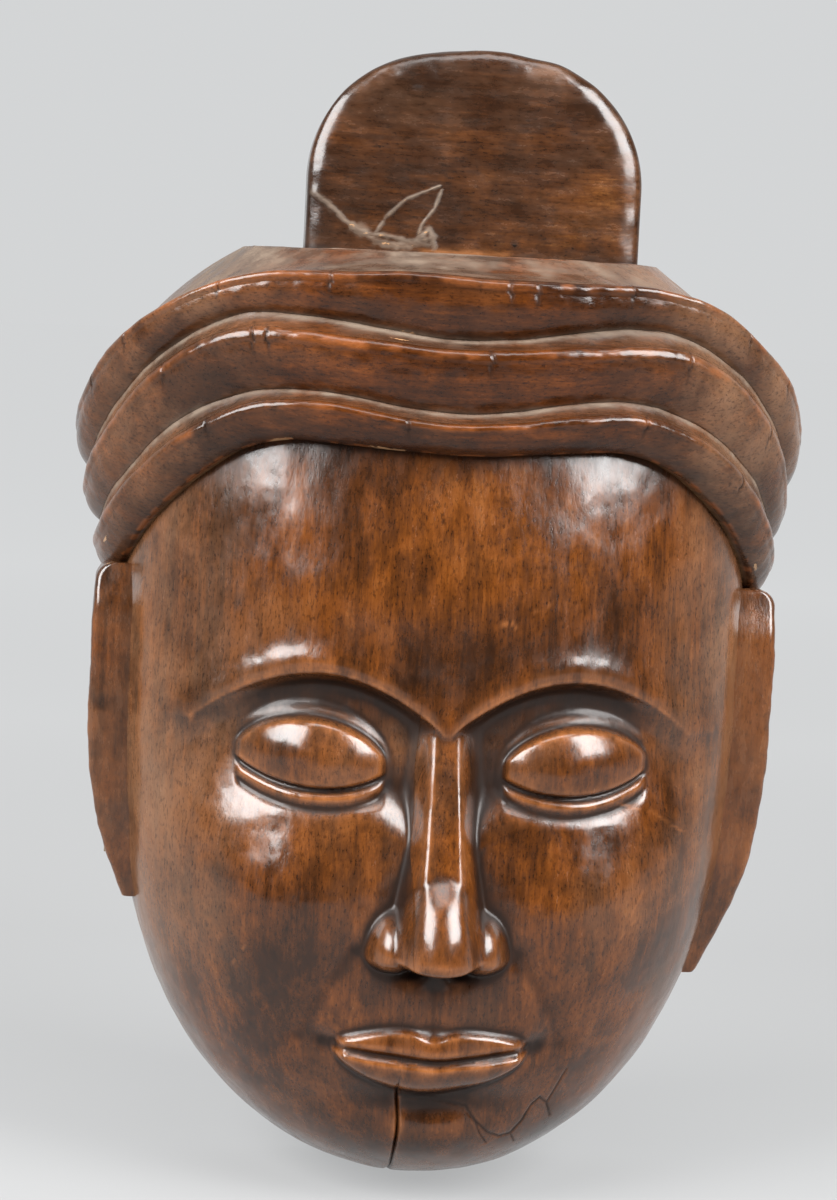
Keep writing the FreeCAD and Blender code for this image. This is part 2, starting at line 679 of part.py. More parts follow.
def make_crown_block():
    body, sketch = start_body("crown_body", "XY_Plane")
    arch_outline(sketch, sheet.crown_half_width, sheet.crown_corner, sheet.crown_depth,
                 sheet.crown_crest_radius, 0,
                 {"half_width": "crown_half_width", "corner": "crown_corner", "crest": "crown_depth",
                  "foot": "0", "crest_radius": "crown_crest_radius"})
    centre_on_axes(sketch)
    thickness = sheet.crown_top - sheet.hollow_ceiling

    def top_rim(edge):
        box = edge.BoundBox
        return box.ZMin > thickness - 0.1 and box.YMax > 1

    finish_body(body, sketch, "dimensions.crown_top - dimensions.hollow_ceiling", "crown_rounding",
                top_rim)
    body.Placement = FreeCAD.Placement(Vector(0, 0, sheet.hollow_ceiling), FreeCAD.Rotation(UP, 180))
    return cut_from(body, topknot_dowels.fuse(topknot_nail).fuse(crown_dowels), "crown_block")


topknot_piece = make_topknot_board()
crown_piece = make_crown_block()
crown_at_chin_height = crown_piece.Shape.translated(UP * sheet.mount_height)

keep_shape(lower_band.cut(band_pegs), "hair_band_lower")
keep_shape(middle_band.cut(upper_housing).cut(hair_dowels).cut(upper_batten_screws),
           "hair_band_middle")
keep_shape(upper_band.cut(crown_at_chin_height).cut(upper_housing).cut(hair_dowels)
           .cut(upper_batten_screws).cut(crown_dowels), "hair_band_upper")

# ---------------------------------------------------------------- battens and hardware


def make_batten(name, half_length_name, height_name, holes):
    """Plain cross batten, bound to the sheet, with its screw holes."""
    box = doc.addObject("Part::Box", name + "_box")
    bind(box, Length="2 * dimensions." + half_length_name, Width="dimensions.batten_thickness",
         Height="dimensions.batten_width")
    bind(box, **{"Placement.Base.x": "-dimensions." + half_length_name,
                 "Placement.Base.y": "-dimensions.batten_recess - dimensions.batten_thickness",
                 "Placement.Base.z": "dimensions." + height_name})
    return cut_from(box, holes, name)


make_batten("upper_batten", "upper_batten_half_length", "upper_batten_height",
            upper_batten_screws.fuse(hanger_screws))
make_batten("lower_batten", "lower_batten_half_length", "lower_batten_height", lower_batten_screws)

keep_shape(upper_batten_screws, "upper_batten_screws")
keep_shape(lower_batten_screws, "lower_batten_screws")
keep_shape(joint_cramps, "joint_cramps")
keep_shape(hanger_plate_solid().cut(hanger_screws), "hanger_plate")
keep_shape(hanger_screws, "hanger_screws")
keep_shape(hanger_ring_solid(), "hanger_ring")
keep_shape(face_dowels, "face_dowels")
keep_shape(hair_dowels, "hair_dowels")
keep_shape(band_pegs, "band_pegs")
keep_shape(crown_dowels, "crown_dowels")
keep_shape(topknot_dowels, "topknot_dowels")
keep_shape(topknot_nail, "topknot_nail")
keep_shape(ear_pegs, "ear_pegs")

# ---------------------------------------------------------------- checks and files

doc.recompute()
for item in doc.Objects:
    if "Invalid" in item.State or "Error" in item.State:
        raise RuntimeError("%s did not compute: %s" % (item.Label, item.State))

os.makedirs("parts", exist_ok=True)
for item in parts:
    if item.Shape.isNull() or not item.Shape.isValid():
        raise RuntimeError("%s has no valid shape" % item.Label)
    item.Shape.exportStep("parts/%s.step" % item.Label)
    print("%-20s %9.0f mm3 in %d solids" % (item.Label, item.Shape.Volume, len(item.Shape.Solids)))
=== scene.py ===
import math

import bmesh
import bpy
import numpy as np
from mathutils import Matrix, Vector


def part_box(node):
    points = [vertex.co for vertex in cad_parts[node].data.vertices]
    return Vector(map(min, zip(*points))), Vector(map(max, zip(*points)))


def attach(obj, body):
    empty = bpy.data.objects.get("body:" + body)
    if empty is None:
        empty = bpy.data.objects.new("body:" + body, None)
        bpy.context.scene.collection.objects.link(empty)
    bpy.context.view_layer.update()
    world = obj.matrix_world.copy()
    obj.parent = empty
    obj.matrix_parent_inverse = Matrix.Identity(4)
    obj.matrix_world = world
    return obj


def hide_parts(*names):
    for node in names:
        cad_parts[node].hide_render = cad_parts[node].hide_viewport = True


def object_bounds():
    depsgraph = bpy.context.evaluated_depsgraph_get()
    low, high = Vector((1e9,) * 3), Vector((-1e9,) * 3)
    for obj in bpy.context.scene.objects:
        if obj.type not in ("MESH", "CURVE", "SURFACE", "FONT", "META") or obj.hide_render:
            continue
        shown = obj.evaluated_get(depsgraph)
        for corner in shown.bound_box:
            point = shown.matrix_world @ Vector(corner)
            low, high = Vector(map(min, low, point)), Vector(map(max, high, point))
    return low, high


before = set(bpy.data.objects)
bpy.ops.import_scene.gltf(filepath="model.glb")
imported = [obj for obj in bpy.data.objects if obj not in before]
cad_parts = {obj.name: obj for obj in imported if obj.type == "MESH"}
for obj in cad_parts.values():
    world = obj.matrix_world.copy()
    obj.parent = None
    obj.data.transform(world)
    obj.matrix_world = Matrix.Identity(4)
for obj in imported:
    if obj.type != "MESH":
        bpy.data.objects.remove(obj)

CAD_BOUNDS = [list(corner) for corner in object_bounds()]

# The carving is worked out in millimetres: x to the viewer's right, y towards the wall, and z above
# the chin. MM and CHIN take a point to the frame's metres.
MM = 0.001
CHIN = CAD_BOUNDS[0][2]
OVAL_POWER = 2.4
PLAN = (160, 125)

# Edges of the hair bands: half width and depth of the plan, heights at the centre, crest and end,
# where the crest is, and how square the fall to the end is. They are the part's own dimensions.
HAIR_LINES = {
    "upper_ridge": (184, 126, 450, 450, 368, 0.42, 0.60),
    "upper_crease": (175, 119, 421, 429, 346, 0.50, 0.68),
    "middle_ridge": (179, 131, 415, 420, 335, 0.50, 0.68),
    "middle_crease": (169, 123, 386, 395, 320, 0.45, 0.68),
    "lower_ridge": (173, 135, 381, 388, 309, 0.44, 0.75),
    "hairline": (162, 124, 368, 372, 293, 0.45, 0.80),
}


def span(node, axis):
    """Both ends of a node's box along an axis, in mm, heights above the chin."""
    start = CHIN if axis == 2 else 0
    return [(corner[axis] - start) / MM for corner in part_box(node)]


# ------------ numbers and noise

def bell(distance, spread):
    return np.exp(-0.5 * (distance / spread) ** 2)


def spot(distance, width):
    return np.exp(-(distance / width) ** 2)


def unit(value):
    """Held between 0 and 1."""
    return np.clip(value, 0, 1)


def step(value, low, high):
    """Smooth step from 0 at low to 1 at high."""
    share = unit((value - low) / (high - low))
    return share * share * (3 - 2 * share)


def mixed(first, second, share):
    return first + (second - first) * share


def points_of(*coordinates):
    """Points from their coordinates, which may be arrays or single numbers."""
    return np.stack(np.broadcast_arrays(*coordinates), axis=-1)


def running(steps):
    """Running total of the steps, from 0."""
    return np.concatenate([[0], np.cumsum(steps)])


def higher(first, second, blend):
    """The higher of two reliefs, rounded where they meet."""
    near = np.maximum(blend - np.abs(first - second), 0) / blend
    return np.maximum(first, second) + near * near * blend / 4


def noise(points, cell, seed):
    """Smooth value noise from -1 to 1 at points (..., 3), one lattice cell of that size in mm."""
    table = np.random.RandomState(seed).uniform(-1, 1, (32, 32, 32))
    place = points / cell + 100.5
    low = np.floor(place).astype(int)
    share = place - low
    share = share * share * (3 - 2 * share)
    total = 0
    for corner in range(8):
        offset = np.array([corner & 1, corner >> 1 & 1, corner >> 2 & 1])
        weight = np.prod(np.where(offset, share, 1 - share), axis=-1)
        index = (low + offset) % 32
        total = total + weight * table[index[..., 0], index[..., 1], index[..., 2]]
    return total


def rough(points, cell, seed, octaves=3):
    """Noise at several sizes, each half the last."""
    return sum(noise(points, cell / 2 ** k, seed + k) / 2 ** k for k in range(octaves))


def path_distance(x, z, path):
    """Distance from points (x, z) to a polyline."""
    best = np.full(np.shape(x), 1e9)
    for (x0, z0), (x1, z1) in zip(path[:-1], path[1:]):
        length = math.hypot(x1 - x0, z1 - z0)
        along = unit(((x - x0) * (x1 - x0) + (z - z0) * (z1 - z0)) / length ** 2)
        best = np.minimum(best, np.hypot(x - x0 - along * (x1 - x0), z - z0 - along * (z1 - z0)))
    return best


# ------------ meshes

class Solid:
    """Collects the points and faces of one closed piece, with named shares painted on the points."""

    def __init__(self):
        self.points, self.faces, self.paint = [], [], {}
        self.count = 0

    def add(self, points, **paint):
        """Add points (..., 3) in mm above the chin and return their numbers in the same grid."""
        points = np.asarray(points, float)
        shape = points.shape[:-1]
        size = int(np.prod(shape))
        self.points.append(points.reshape(-1, 3))
        for name in ("grime", "dust", "wear", "chip", "haze_and_reflection", "raw"):
            share = unit(np.broadcast_to(np.asarray(paint.get(name, 0.0), float), shape))
            self.paint.setdefault(name, []).append(share.reshape(-1))
        ids = np.arange(self.count, self.count + size).reshape(shape)
        self.count += size
        return ids

    def skin(self, ids, closed=False):
        """Cover a grid of points with quads. closed joins its last row to its first."""
        if closed:
            ids = np.vstack([ids, ids[:1]])
        quads = np.stack([ids[:-1, :-1], ids[:-1, 1:], ids[1:, 1:], ids[1:, :-1]], axis=-1)
        self.faces += quads.reshape(-1, 4).tolist()

    def bridge(self, fine, coarse):
        """Join an edge of many points to one of few, in fans of triangles."""
        ratio = (len(fine) - 1) // (len(coarse) - 1)
        for k in range(len(coarse) - 1):
            middle = k * ratio + ratio // 2
            for i in range(k * ratio, (k + 1) * ratio):
                corner = coarse[k] if i < middle else coarse[k + 1]
                self.faces.append([int(fine[i]), int(fine[i + 1]), int(corner)])
            self.faces.append([int(fine[middle]), int(coarse[k]), int(coarse[k + 1])])

    def cap(self, ring):
        """Close a flat ring of points with one face."""
        self.faces.append([int(number) for number in ring])

    def tube(self, rings):
        """Cover rings of points one after another and close both ends."""
        self.skin(np.hstack([rings, rings[:, :1]]))
        self.cap(rings[0])
        self.cap(rings[-1])

    def finish(self, node, slot, housed=()):
        """Make the piece that takes a node's place, with housings for battens cut out."""
        name = "carved_" + node
        points = np.concatenate(self.points) * MM
        points[:, 2] += CHIN
        mesh = bpy.data.meshes.new(name)
        mesh.from_pydata(points.tolist(), [], self.faces)
        for paint_name, shares in self.paint.items():
            layer = mesh.attributes.new(paint_name, "FLOAT", "POINT")
            layer.data.foreach_set("value", np.concatenate(shares).astype(np.float32))
        work = bmesh.new()
        work.from_mesh(mesh)
        bmesh.ops.recalc_face_normals(work, faces=work.faces)
        work.to_mesh(mesh)
        work.free()
        mesh.materials.append(CARVED_WOODS[slot])
        piece = bpy.data.objects.new(name, mesh)
        bpy.context.scene.collection.objects.link(piece)
        for batten in housed:
            cut_housing(piece, batten)
        piece.data.set_sharp_from_angle(angle=math.radians(66))
        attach(piece, "mask")
        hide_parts(node)


def cut_housing(piece, batten):
    """Cut the housing of a batten, open to the wall side, out of a piece."""
    low, high = (Vector(corner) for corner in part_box(batten))
    high.y = 2 * MM
    middle, size = (low + high) / 2, high - low
    bpy.ops.mesh.primitive_cube_add(size=1, location=middle, scale=size)
    cutter = bpy.context.object
    bpy.context.view_layer.update()
    cut = piece.modifiers.new("housing", "BOOLEAN")
    cut.operation, cut.solver, cut.object = "DIFFERENCE", "MANIFOLD", cutter
    whole = piece.data
    seen = piece.evaluated_get(bpy.context.evaluated_depsgraph_get())
    piece.data = bpy.data.meshes.new_from_object(seen)
    piece.modifiers.clear()
    piece.data.name = whole.name + "_housed"
    bpy.data.meshes.remove(whole)
    bpy.data.objects.remove(cutter)


def hollows(points, reach):
    """How far each point of a grid lies below (+) or above (-) the mean of its neighbours, along y
    and z, in mm: hollows are painted dark, partly as grime and partly as painted shade, and crests wear."""
    mean = points.copy()
    for _ in range(reach):
        padded = np.pad(mean, ((1, 1), (1, 1), (0, 0)), mode="edge")
        mean = (padded[:-2, 1:-1] + padded[2:, 1:-1] + padded[1:-1, :-2] + padded[1:-1, 2:]) / 4
    across = np.gradient(points, axis=1)
    along = np.gradient(points, axis=0)
    normal = np.cross(across, along)
    normal /= np.maximum(np.linalg.norm(normal, axis=-1, keepdims=True), 1e-9)
    outward = np.sign(np.sum(normal * (points - [0, 0, 220]), axis=-1, keepdims=True))
    return np.sum((mean - points) * normal * outward, axis=-1)


# ------------ materials

class Nodes:
    """Short names for building the node tree of a material or a world."""

    def __init__(self, owner, shader="Principled BSDF"):
        owner.use_nodes = True
        self.tree = owner.node_tree
        self.shader = self.tree.nodes[shader]

    def node(self, kind, inputs=None, **settings):
        node = self.tree.nodes.new(kind)
        for key, value in settings.items():
            setattr(node, key, value)
        for key, value in (inputs or {}).items():
            if isinstance(value, bpy.types.NodeSocket):
                self.tree.links.new(value, node.inputs[key])
            else:
                node.inputs[key].default_value = value
        return node

    def link(self, socket, target):
        self.tree.links.new(socket, self.shader.inputs[target])

    def fix(self, target, value):
        self.shader.inputs[target].default_value = value

    def bump(self, height, strength, distance):
        relief = self.node("ShaderNodeBump", {"Height": height, "Strength": strength,
                                              "Distance": distance})
        self.link(relief.outputs["Normal"], "Normal")

    def place(self, scale):
        """Object coordinates scaled on each axis: a small scale draws the pattern out."""
        coordinates = self.node("ShaderNodeTexCoord")
        return self.node("ShaderNodeMapping", {"Vector": coordinates.outputs["Object"],
                                               "Scale": scale}).outputs["Vector"]

    def noise(self, vector, scale, detail=4.0, roughness=0.55, distortion=0.0):
        return self.node("ShaderNodeTexNoise", {
            "Vector": vector, "Scale": scale, "Detail": detail, "Roughness": roughness,
            "Distortion": distortion}).outputs["Fac"]

    def math(self, operation, first, second, clamp=False):
        return self.node("ShaderNodeMath", {0: first, 1: second}, operation=operation,
                         use_clamp=clamp).outputs[0]

    def plus(self, first, second, clamp=False):
        return self.math("ADD", first, second, clamp)

    def times(self, first, second, clamp=False):
        return self.math("MULTIPLY", first, second, clamp)

    def spread(self, value, low, high, to_low=0.0, to_high=1.0):
        return self.node("ShaderNodeMapRange", {
            "Value": value, "From Min": low, "From Max": high, "To Min": to_low,
            "To Max": to_high}).outputs["Result"]

    def ramp(self, value, stops):
        node = self.node("ShaderNodeValToRGB", {"Fac": value})
        elements = node.color_ramp.elements
        while len(elements) < len(stops):
            elements.new(0.5)
        for element, (position, colour) in zip(elements, stops):
            element.position = position
            element.color = (*colour, 1)
        return node.outputs["Color"]

    def mix(self, share, first, second):
        node = self.node("ShaderNodeMix", data_type="RGBA")
        for index, value in ((0, share), (6, first), (7, second)):
            if isinstance(value, bpy.types.NodeSocket):
                self.tree.links.new(value, node.inputs[index])
            else:
                node.inputs[index].default_value = value if index == 0 else (*value, 1)
        return node.outputs[2]

    def painted(self, name):
        return self.node("ShaderNodeAttribute", attribute_name=name).outputs["Fac"]


# Colour of grime and of painted shade in hollows, under overhangs and at the feet of the band faces.
GRIME_AND_SHADE = (0.0125, 0.0060, 0.0038)
# Colour of a pale film, partly dust and partly a painted reflection of the pale room.
HAZE_AND_REFLECTION = (0.185, 0.113, 0.068)
DUST = (0.150, 0.113, 0.085)
CHIPPED = (0.30, 0.17, 0.085)
RAW_STOPS = [(0.38, (0.045, 0.022, 0.011)), (0.62, (0.130, 0.072, 0.036))]
VERTICAL_GRAIN = (1.0, 1.0, 0.07)
HORIZONTAL_GRAIN = (0.07, 1.0, 1.0)


def stained_wood(name, grain, stops, gloss):
    """Stained and polished carving: streaked grain, blotches, hollows darkened by grime and painted
    shade, a pale film partly of painted reflection, worn crests and dust.
    Where raw is painted, behind the mask, the wood is bare and gouged."""
    material = bpy.data.materials.new(name)
    n = Nodes(material)
    drawn, plain = n.place(grain), n.place((1, 1, 1))
    short = n.place(tuple(0.3 + 0.7 * share for share in grain))
    fibre = n.noise(drawn, 480, 4.0, 0.65)
    figure = n.noise(drawn, 60, 8.0, 0.70, 0.4)
    blotch = n.noise(plain, 13, 8.0, 0.68, 0.3)
    mottle = n.noise(short, 120, 6.0, 0.68)
    speck = n.noise(short, 900, 3.0, 0.7)

    streaks = n.plus(n.times(figure, 0.45), n.times(fibre, 0.25))
    patches = n.plus(n.times(blotch, 0.60), n.times(mottle, 0.20))
    colour = n.ramp(n.spread(n.plus(streaks, patches), 0.60, 0.90), stops)
    darkest, palest = stops[0][1], stops[-1][1]
    # Pale film, partly dust and partly a painted reflection of the pale room, where it is painted.
    hazy_reflection = tuple(0.3 * wood + 0.68 * film for wood, film in zip(palest, HAZE_AND_REFLECTION))
    smudge = n.spread(n.noise(plain, 21, 10.0, 0.76), 0.50, 0.62, 0.0, 0.58)
    haze_and_reflection = n.times(n.painted("haze_and_reflection"), n.spread(blotch, 0.40, 0.66, 0.15, 1.0), clamp=True)
    specks = n.spread(speck, 0.52, 0.66, 0.0, 0.60)
    # Dark layer: grime, and painted shade in hollows and under overhangs.
    grime, raw = n.painted("grime"), n.painted("raw")
    soiled_and_shaded = n.times(grime, n.spread(mottle, 0.3, 0.6, 0.75, 1.0), clamp=True)
    wear = n.times(n.painted("wear"), n.spread(mottle, 0.38, 0.60, 0.2, 1.0), clamp=True)
    dust = n.times(n.painted("dust"), n.spread(mottle, 0.40, 0.60, 0.35, 1.0), clamp=True)
    splinter = n.spread(n.noise(short, 500, 5.0, 0.75), 0, 1, -0.9, 0.9)
    chip = n.math("GREATER_THAN", n.plus(n.painted("chip"), splinter), 0.5)
    bare = n.ramp(n.plus(n.times(figure, 0.5), n.times(fibre, 0.5)), RAW_STOPS)
    layers = ((smudge, tuple(0.9 * c for c in darkest)), (haze_and_reflection, hazy_reflection),
              (specks, tuple(0.45 * c for c in darkest)), (soiled_and_shaded, GRIME_AND_SHADE),
              (wear, tuple(1.6 * c + 0.01 for c in palest)), (dust, DUST), (chip, CHIPPED), (raw, bare))
    for share, layer in layers:
        colour = n.mix(share, colour, layer)
    n.link(colour, "Base Color")

    matt = n.math("MAXIMUM", n.math("MAXIMUM", dust, n.times(grime, 0.5)), n.times(raw, 1.4))
    polish = n.spread(mottle, 0.36, 0.64, 0.14, 0.28)
    n.link(n.plus(polish, n.times(matt, 0.40), clamp=True), "Roughness")
    clean = n.math("SUBTRACT", 1.0, n.times(matt, 0.9), clamp=True)
    n.link(n.times(clean, 0.44 * gloss), "Specular IOR Level")
    n.link(n.times(clean, 0.22 * gloss), "Coat Weight")
    n.fix("Coat Roughness", 0.08)
    gouges = n.node("ShaderNodeTexVoronoi", {"Vector": short, "Scale": 62.0, "Smoothness": 0.4},
                    feature="SMOOTH_F1").outputs["Distance"]
    height = n.plus(n.times(speck, -0.10), n.times(figure, 0.16))
    height = n.plus(height, n.times(mottle, 0.36))
    n.bump(n.plus(height, n.times(n.times(gouges, raw), 2.2)), 0.5, 0.0012)
    return material


def raw_wood(name, grain, pale, dark):
    """Unstained timber of the battens and dowels."""
    material = bpy.data.materials.new(name)
    n = Nodes(material)
    drawn = n.place(grain)
    fibre = n.noise(drawn, 420, 4.0, 0.6)
    figure = n.noise(drawn, 60, 4.0, 0.6, 0.8)
    shade = n.plus(n.times(fibre, 0.4), n.times(figure, 0.6))
    n.link(n.ramp(shade, [(0.3, dark), (0.62, pale)]), "Base Color")
    n.link(n.spread(fibre, 0.3, 0.7, 0.55, 0.8), "Roughness")
    n.bump(shade, 0.5, 0.0008)
    return material


def dull_metal(name, bright, dark, metallic, polish):
    """Handled metal with stains and fine scratches."""
    material = bpy.data.materials.new(name)
    n = Nodes(material)
    plain = n.place((1, 1, 1))
    stain = n.noise(plain, 160, 5.0, 0.65)
    n.link(n.ramp(stain, [(0.35, dark), (0.62, bright)]), "Base Color")
    n.link(n.spread(stain, 0.3, 0.7, polish[1], polish[0]), "Roughness")
    n.fix("Metallic", metallic)
    n.bump(n.noise(plain, 1400, 3.0, 0.6), 0.3, 0.0003)
    return material


FACE_STOPS = [(0.0, (0.0168, 0.0061, 0.0023)), (0.35, (0.0475, 0.0144, 0.0033)),
              (0.65, (0.1010, 0.0288, 0.0048)), (1.0, (0.1550, 0.0500, 0.0102))]
HAIR_STOPS = [(0.0, (0.0140, 0.0043, 0.0014)), (0.4, (0.0400, 0.0112, 0.0024)),
              (0.75, (0.0850, 0.0224, 0.0034)), (1.0, (0.1400, 0.0387, 0.0062))]
TOPKNOT_STOPS = [(0.0, (0.010, 0.0038, 0.0018)), (0.45, (0.024, 0.0082, 0.0030)),
                 (0.8, (0.062, 0.0200, 0.0050)), (1.0, (0.110, 0.0400, 0.0100))]
CARVED_WOODS = {
    "face_wood": stained_wood("face_wood", VERTICAL_GRAIN, FACE_STOPS, 1.0),
    "ear_wood": stained_wood("ear_wood", VERTICAL_GRAIN, FACE_STOPS, 1.0),
    "hair_wood": stained_wood("hair_wood", HORIZONTAL_GRAIN, HAIR_STOPS, 0.7),
    "topknot_wood": stained_wood("topknot_wood", HORIZONTAL_GRAIN, TOPKNOT_STOPS, 0.85),
}
batten_wood = raw_wood("batten_wood", HORIZONTAL_GRAIN, (0.40, 0.27, 0.15), (0.22, 0.13, 0.065))
dowel_wood = raw_wood("dowel_wood", VERTICAL_GRAIN, (0.50, 0.36, 0.21), (0.33, 0.21, 0.11))
screw_steel = dull_metal("screw_steel", (0.50, 0.48, 0.44), (0.16, 0.13, 0.10), 1.0, (0.3, 0.55))
hanger_steel = dull_metal("hanger_steel", (0.55, 0.50, 0.40), (0.20, 0.15, 0.10), 1.0, (0.25, 0.5))
cramp_iron = dull_metal("cramp_iron", (0.12, 0.085, 0.065), (0.035, 0.022, 0.016), 0.8, (0.5, 0.8))
nail_iron = dull_metal("nail_iron", (0.09, 0.07, 0.06), (0.02, 0.015, 0.012), 0.9, (0.4, 0.7))


# ------------ plan ovals and hair lines

def oval(turn):
    """Sideways and forward share of a half oval at an angle, in degrees, from straight ahead."""
    radians = np.radians(turn)
    share = 2 / OVAL_POWER
    side = np.sign(radians) * np.abs(np.sin(radians)) ** share
    forward = np.where(np.abs(turn) < 89.999, np.maximum(np.cos(radians), 0), 0) ** share
    return side, forward


def lengths_round(turns):
    """Distance round a plan oval at each angle, as a share from -1 to 1."""
    side, forward = oval(turns)
    length = running(np.hypot(np.diff(PLAN[0] * side), np.diff(PLAN[1] * forward)))
    return 2 * length / length[-1] - 1


TABLE_TURNS = np.linspace(-90, 90, 4001)
TABLE_LENGTHS = lengths_round(TABLE_TURNS)


def turn_at(share):
    """Angle at a share of the way round the plan oval, from -1 to 1, in even steps of length."""
    return np.interp(share, TABLE_LENGTHS, TABLE_TURNS)


def share_at(turn):
    return np.interp(turn, TABLE_TURNS, TABLE_LENGTHS)


def on_oval(turns, half_width, depth, height):
    """Points of a plan oval at those angles."""
    side, forward = oval(turns)
    return points_of(half_width * side, -depth * forward, height)


def hair_height(line, side):
    centre, crest, end, crest_share, fall = HAIR_LINES[line][2:]
    side = np.abs(side)
    middle = centre + (crest - centre) * (1 - np.cos(np.pi * side / crest_share)) / 2
    beyond = unit((side - crest_share) / (1 - crest_share))
    outer = end + (crest - end) * (1 - beyond ** 2) ** fall
    return np.where(side < crest_share, middle, outer)


def hair_line(line, turns, seed):
    """The 3-D edge of a hair band, with the unevenness of hand carving."""
    side, forward = oval(turns)
    half_width, depth = HAIR_LINES[line][:2]
    points = on_oval(turns, half_width, depth, hair_height(line, side))
    wander = rough(points, 46, seed, 3)
    swell = rough(points, 60, seed + 9, 3)
    ends = unit(forward * 3)
    points[:, 2] += 1.2 * wander * ends
    return points + outward(turns) * (0.9 * swell * ends)[:, None]


def outward(turns):
    """Unit direction out of the plan oval."""
    side, forward = oval(turns)
    normal = points_of(np.sign(side) * np.abs(side) ** (OVAL_POWER - 1) / PLAN[0],
                       -forward ** (OVAL_POWER - 1) / PLAN[1], 0)
    return normal / np.linalg.norm(normal, axis=-1, keepdims=True)


# ------------ face boards

FACE_HALF_WIDTH, WIDEST_HEIGHT, WIDTH_REACH = 158, 250, 400
FACE_DEPTH, DEEPEST_HEIGHT, DEPTH_REACH = 128, 200, 330
CHIN_FLAT = (15, 34)
WALL = 25
BROW_HEIGHT, BROW_ARCH, BROW_SPAN = 245, 27, 118
EYE_SIDE, EYE_HEIGHT, EYE_HALF_WIDTH = 63, 222, 36
NOSE_BASE, NOSE_BURIED = 123, -14
MOUTH_HEIGHT, MOUTH_HALF_WIDTH = 82, 49

# Broad forms of the face: distance from the middle, height, spread across and up, and rise.
MOUNDS = {
    "cheek": (80, 148, 33, 32, 14), "mouth": (0, 94, 36, 24, 8), "chin": (0, 31, 31, 19, 13),
    "under_lip": (0, 57, 27, 7, -5.5), "forehead": (0, 318, 70, 38, 3), "temple": (120, 285, 24, 36, -3),
}
JOINT = span("face_board_right", 0)[0]


def face_plan(height):
    """Half width and depth of the face at a height."""
    low = unit((WIDEST_HEIGHT - height) / WIDEST_HEIGHT)
    high = unit((height - WIDEST_HEIGHT) / WIDTH_REACH)
    half_width = FACE_HALF_WIDTH * (1 - np.maximum(low, high) ** 2.5) ** (1 / 2.1)
    low = unit((DEEPEST_HEIGHT - height) / DEEPEST_HEIGHT)
    high = unit((height - DEEPEST_HEIGHT) / DEPTH_REACH)
    depth = FACE_DEPTH * np.where(height < DEEPEST_HEIGHT, (1 - low ** 4) ** (1 / 2.6),
                                  (1 - high ** 2.5) ** (1 / 2.2))
    return np.maximum(half_width, CHIN_FLAT[0]), np.maximum(depth, CHIN_FLAT[1])


def dome(across, up, power):
    """1 in the middle of an ellipse and 0 at its edge; a low power makes the edge steep."""
    return unit(1 - across ** 2 - up ** 2) ** power


def brow_line(side):
    """Height of the edge between forehead and eye socket, an arch over each eye."""
    return BROW_HEIGHT - 9 + BROW_ARCH * np.sin(np.pi * unit((side - 2) / BROW_SPAN)) ** 0.85


def socket_relief(side, z):
    """Hollow that starts crisply under the brow and runs out onto the cheek."""
    below = brow_line(side) - z
    deep = 14 * bell(side - 30, 27) + 7 * bell(side - 78, 26)
    sink = np.sin(np.pi / 2 * unit(below / 15)) ** 0.8
    rim = 2.4 * bell(below + 5, 5.5) * bell(side - 62, 40)
    return rim - deep * sink * (1 - step(below, 30, 66))


def eye_relief(side, z, ground):
    """Closed lids over a domed eye: a crease, an overhanging edge and a narrow lower lid."""
    across = (side - EYE_SIDE) / EYE_HALF_WIDTH
    inside = unit(1 - across ** 2)
    middle = EYE_HEIGHT - 1 + 2 * across
    ball = -17 + 21 * dome(across * 0.90, (z - middle) / 29, 0.55)
    relief = higher(ground, ball, 5)
    slit = middle - 2 - 10 * inside ** 0.8
    crease = middle + 2 + 18 * inside ** 0.7
    within = step(inside, 0.0, 0.2)
    relief += 2.1 * step(z - slit, -0.7, 0.7) * (1 - step(z - crease, -2.0, 1.4)) * within
    relief -= 1.1 * bell(z - crease - 1.0, 1.6) * within
    relief -= 1.7 * bell(z - slit + 1.4, 1.2) * within
    relief += 1.6 * bell(z - slit + 5.6, 2.2) * within
    return relief - 1.4 * bell(z - slit + 10.5, 2.0) * within


def nose_relief(side, z):
    """Straight bridge that widens into a rounded tip and two low wings, ending above the lip."""
    root = BROW_HEIGHT + 8
    down = unit((root - z) / (root - NOSE_BASE))
    crest = -4 + 37 * down ** 1.15 - 0.7 * np.maximum(z - root, 0)
    flat, flank = 3.5 + 5.5 * down, 14 + 20 * down ** 2.2
    bridge = crest + (NOSE_BURIED - crest) * step(side, flat, flat + flank)
    foot = NOSE_BASE + 2 + 4 * step(side, 6, 26)
    bridge = NOSE_BURIED + (bridge - NOSE_BURIED) * step(z, foot - 3, foot + 5)
    tip_up, wing_up = z - NOSE_BASE - 11, z - NOSE_BASE - 9
    tip = NOSE_BURIED + 50 * dome(side / 22, tip_up / np.where(tip_up > 0, 40, 12.5), 0.5)
    wing = NOSE_BURIED + 34 * dome((side - 21) / 16, wing_up / np.where(wing_up > 0, 24, 10.5), 0.5)
    return higher(higher(bridge, tip, 18), wing, 10)


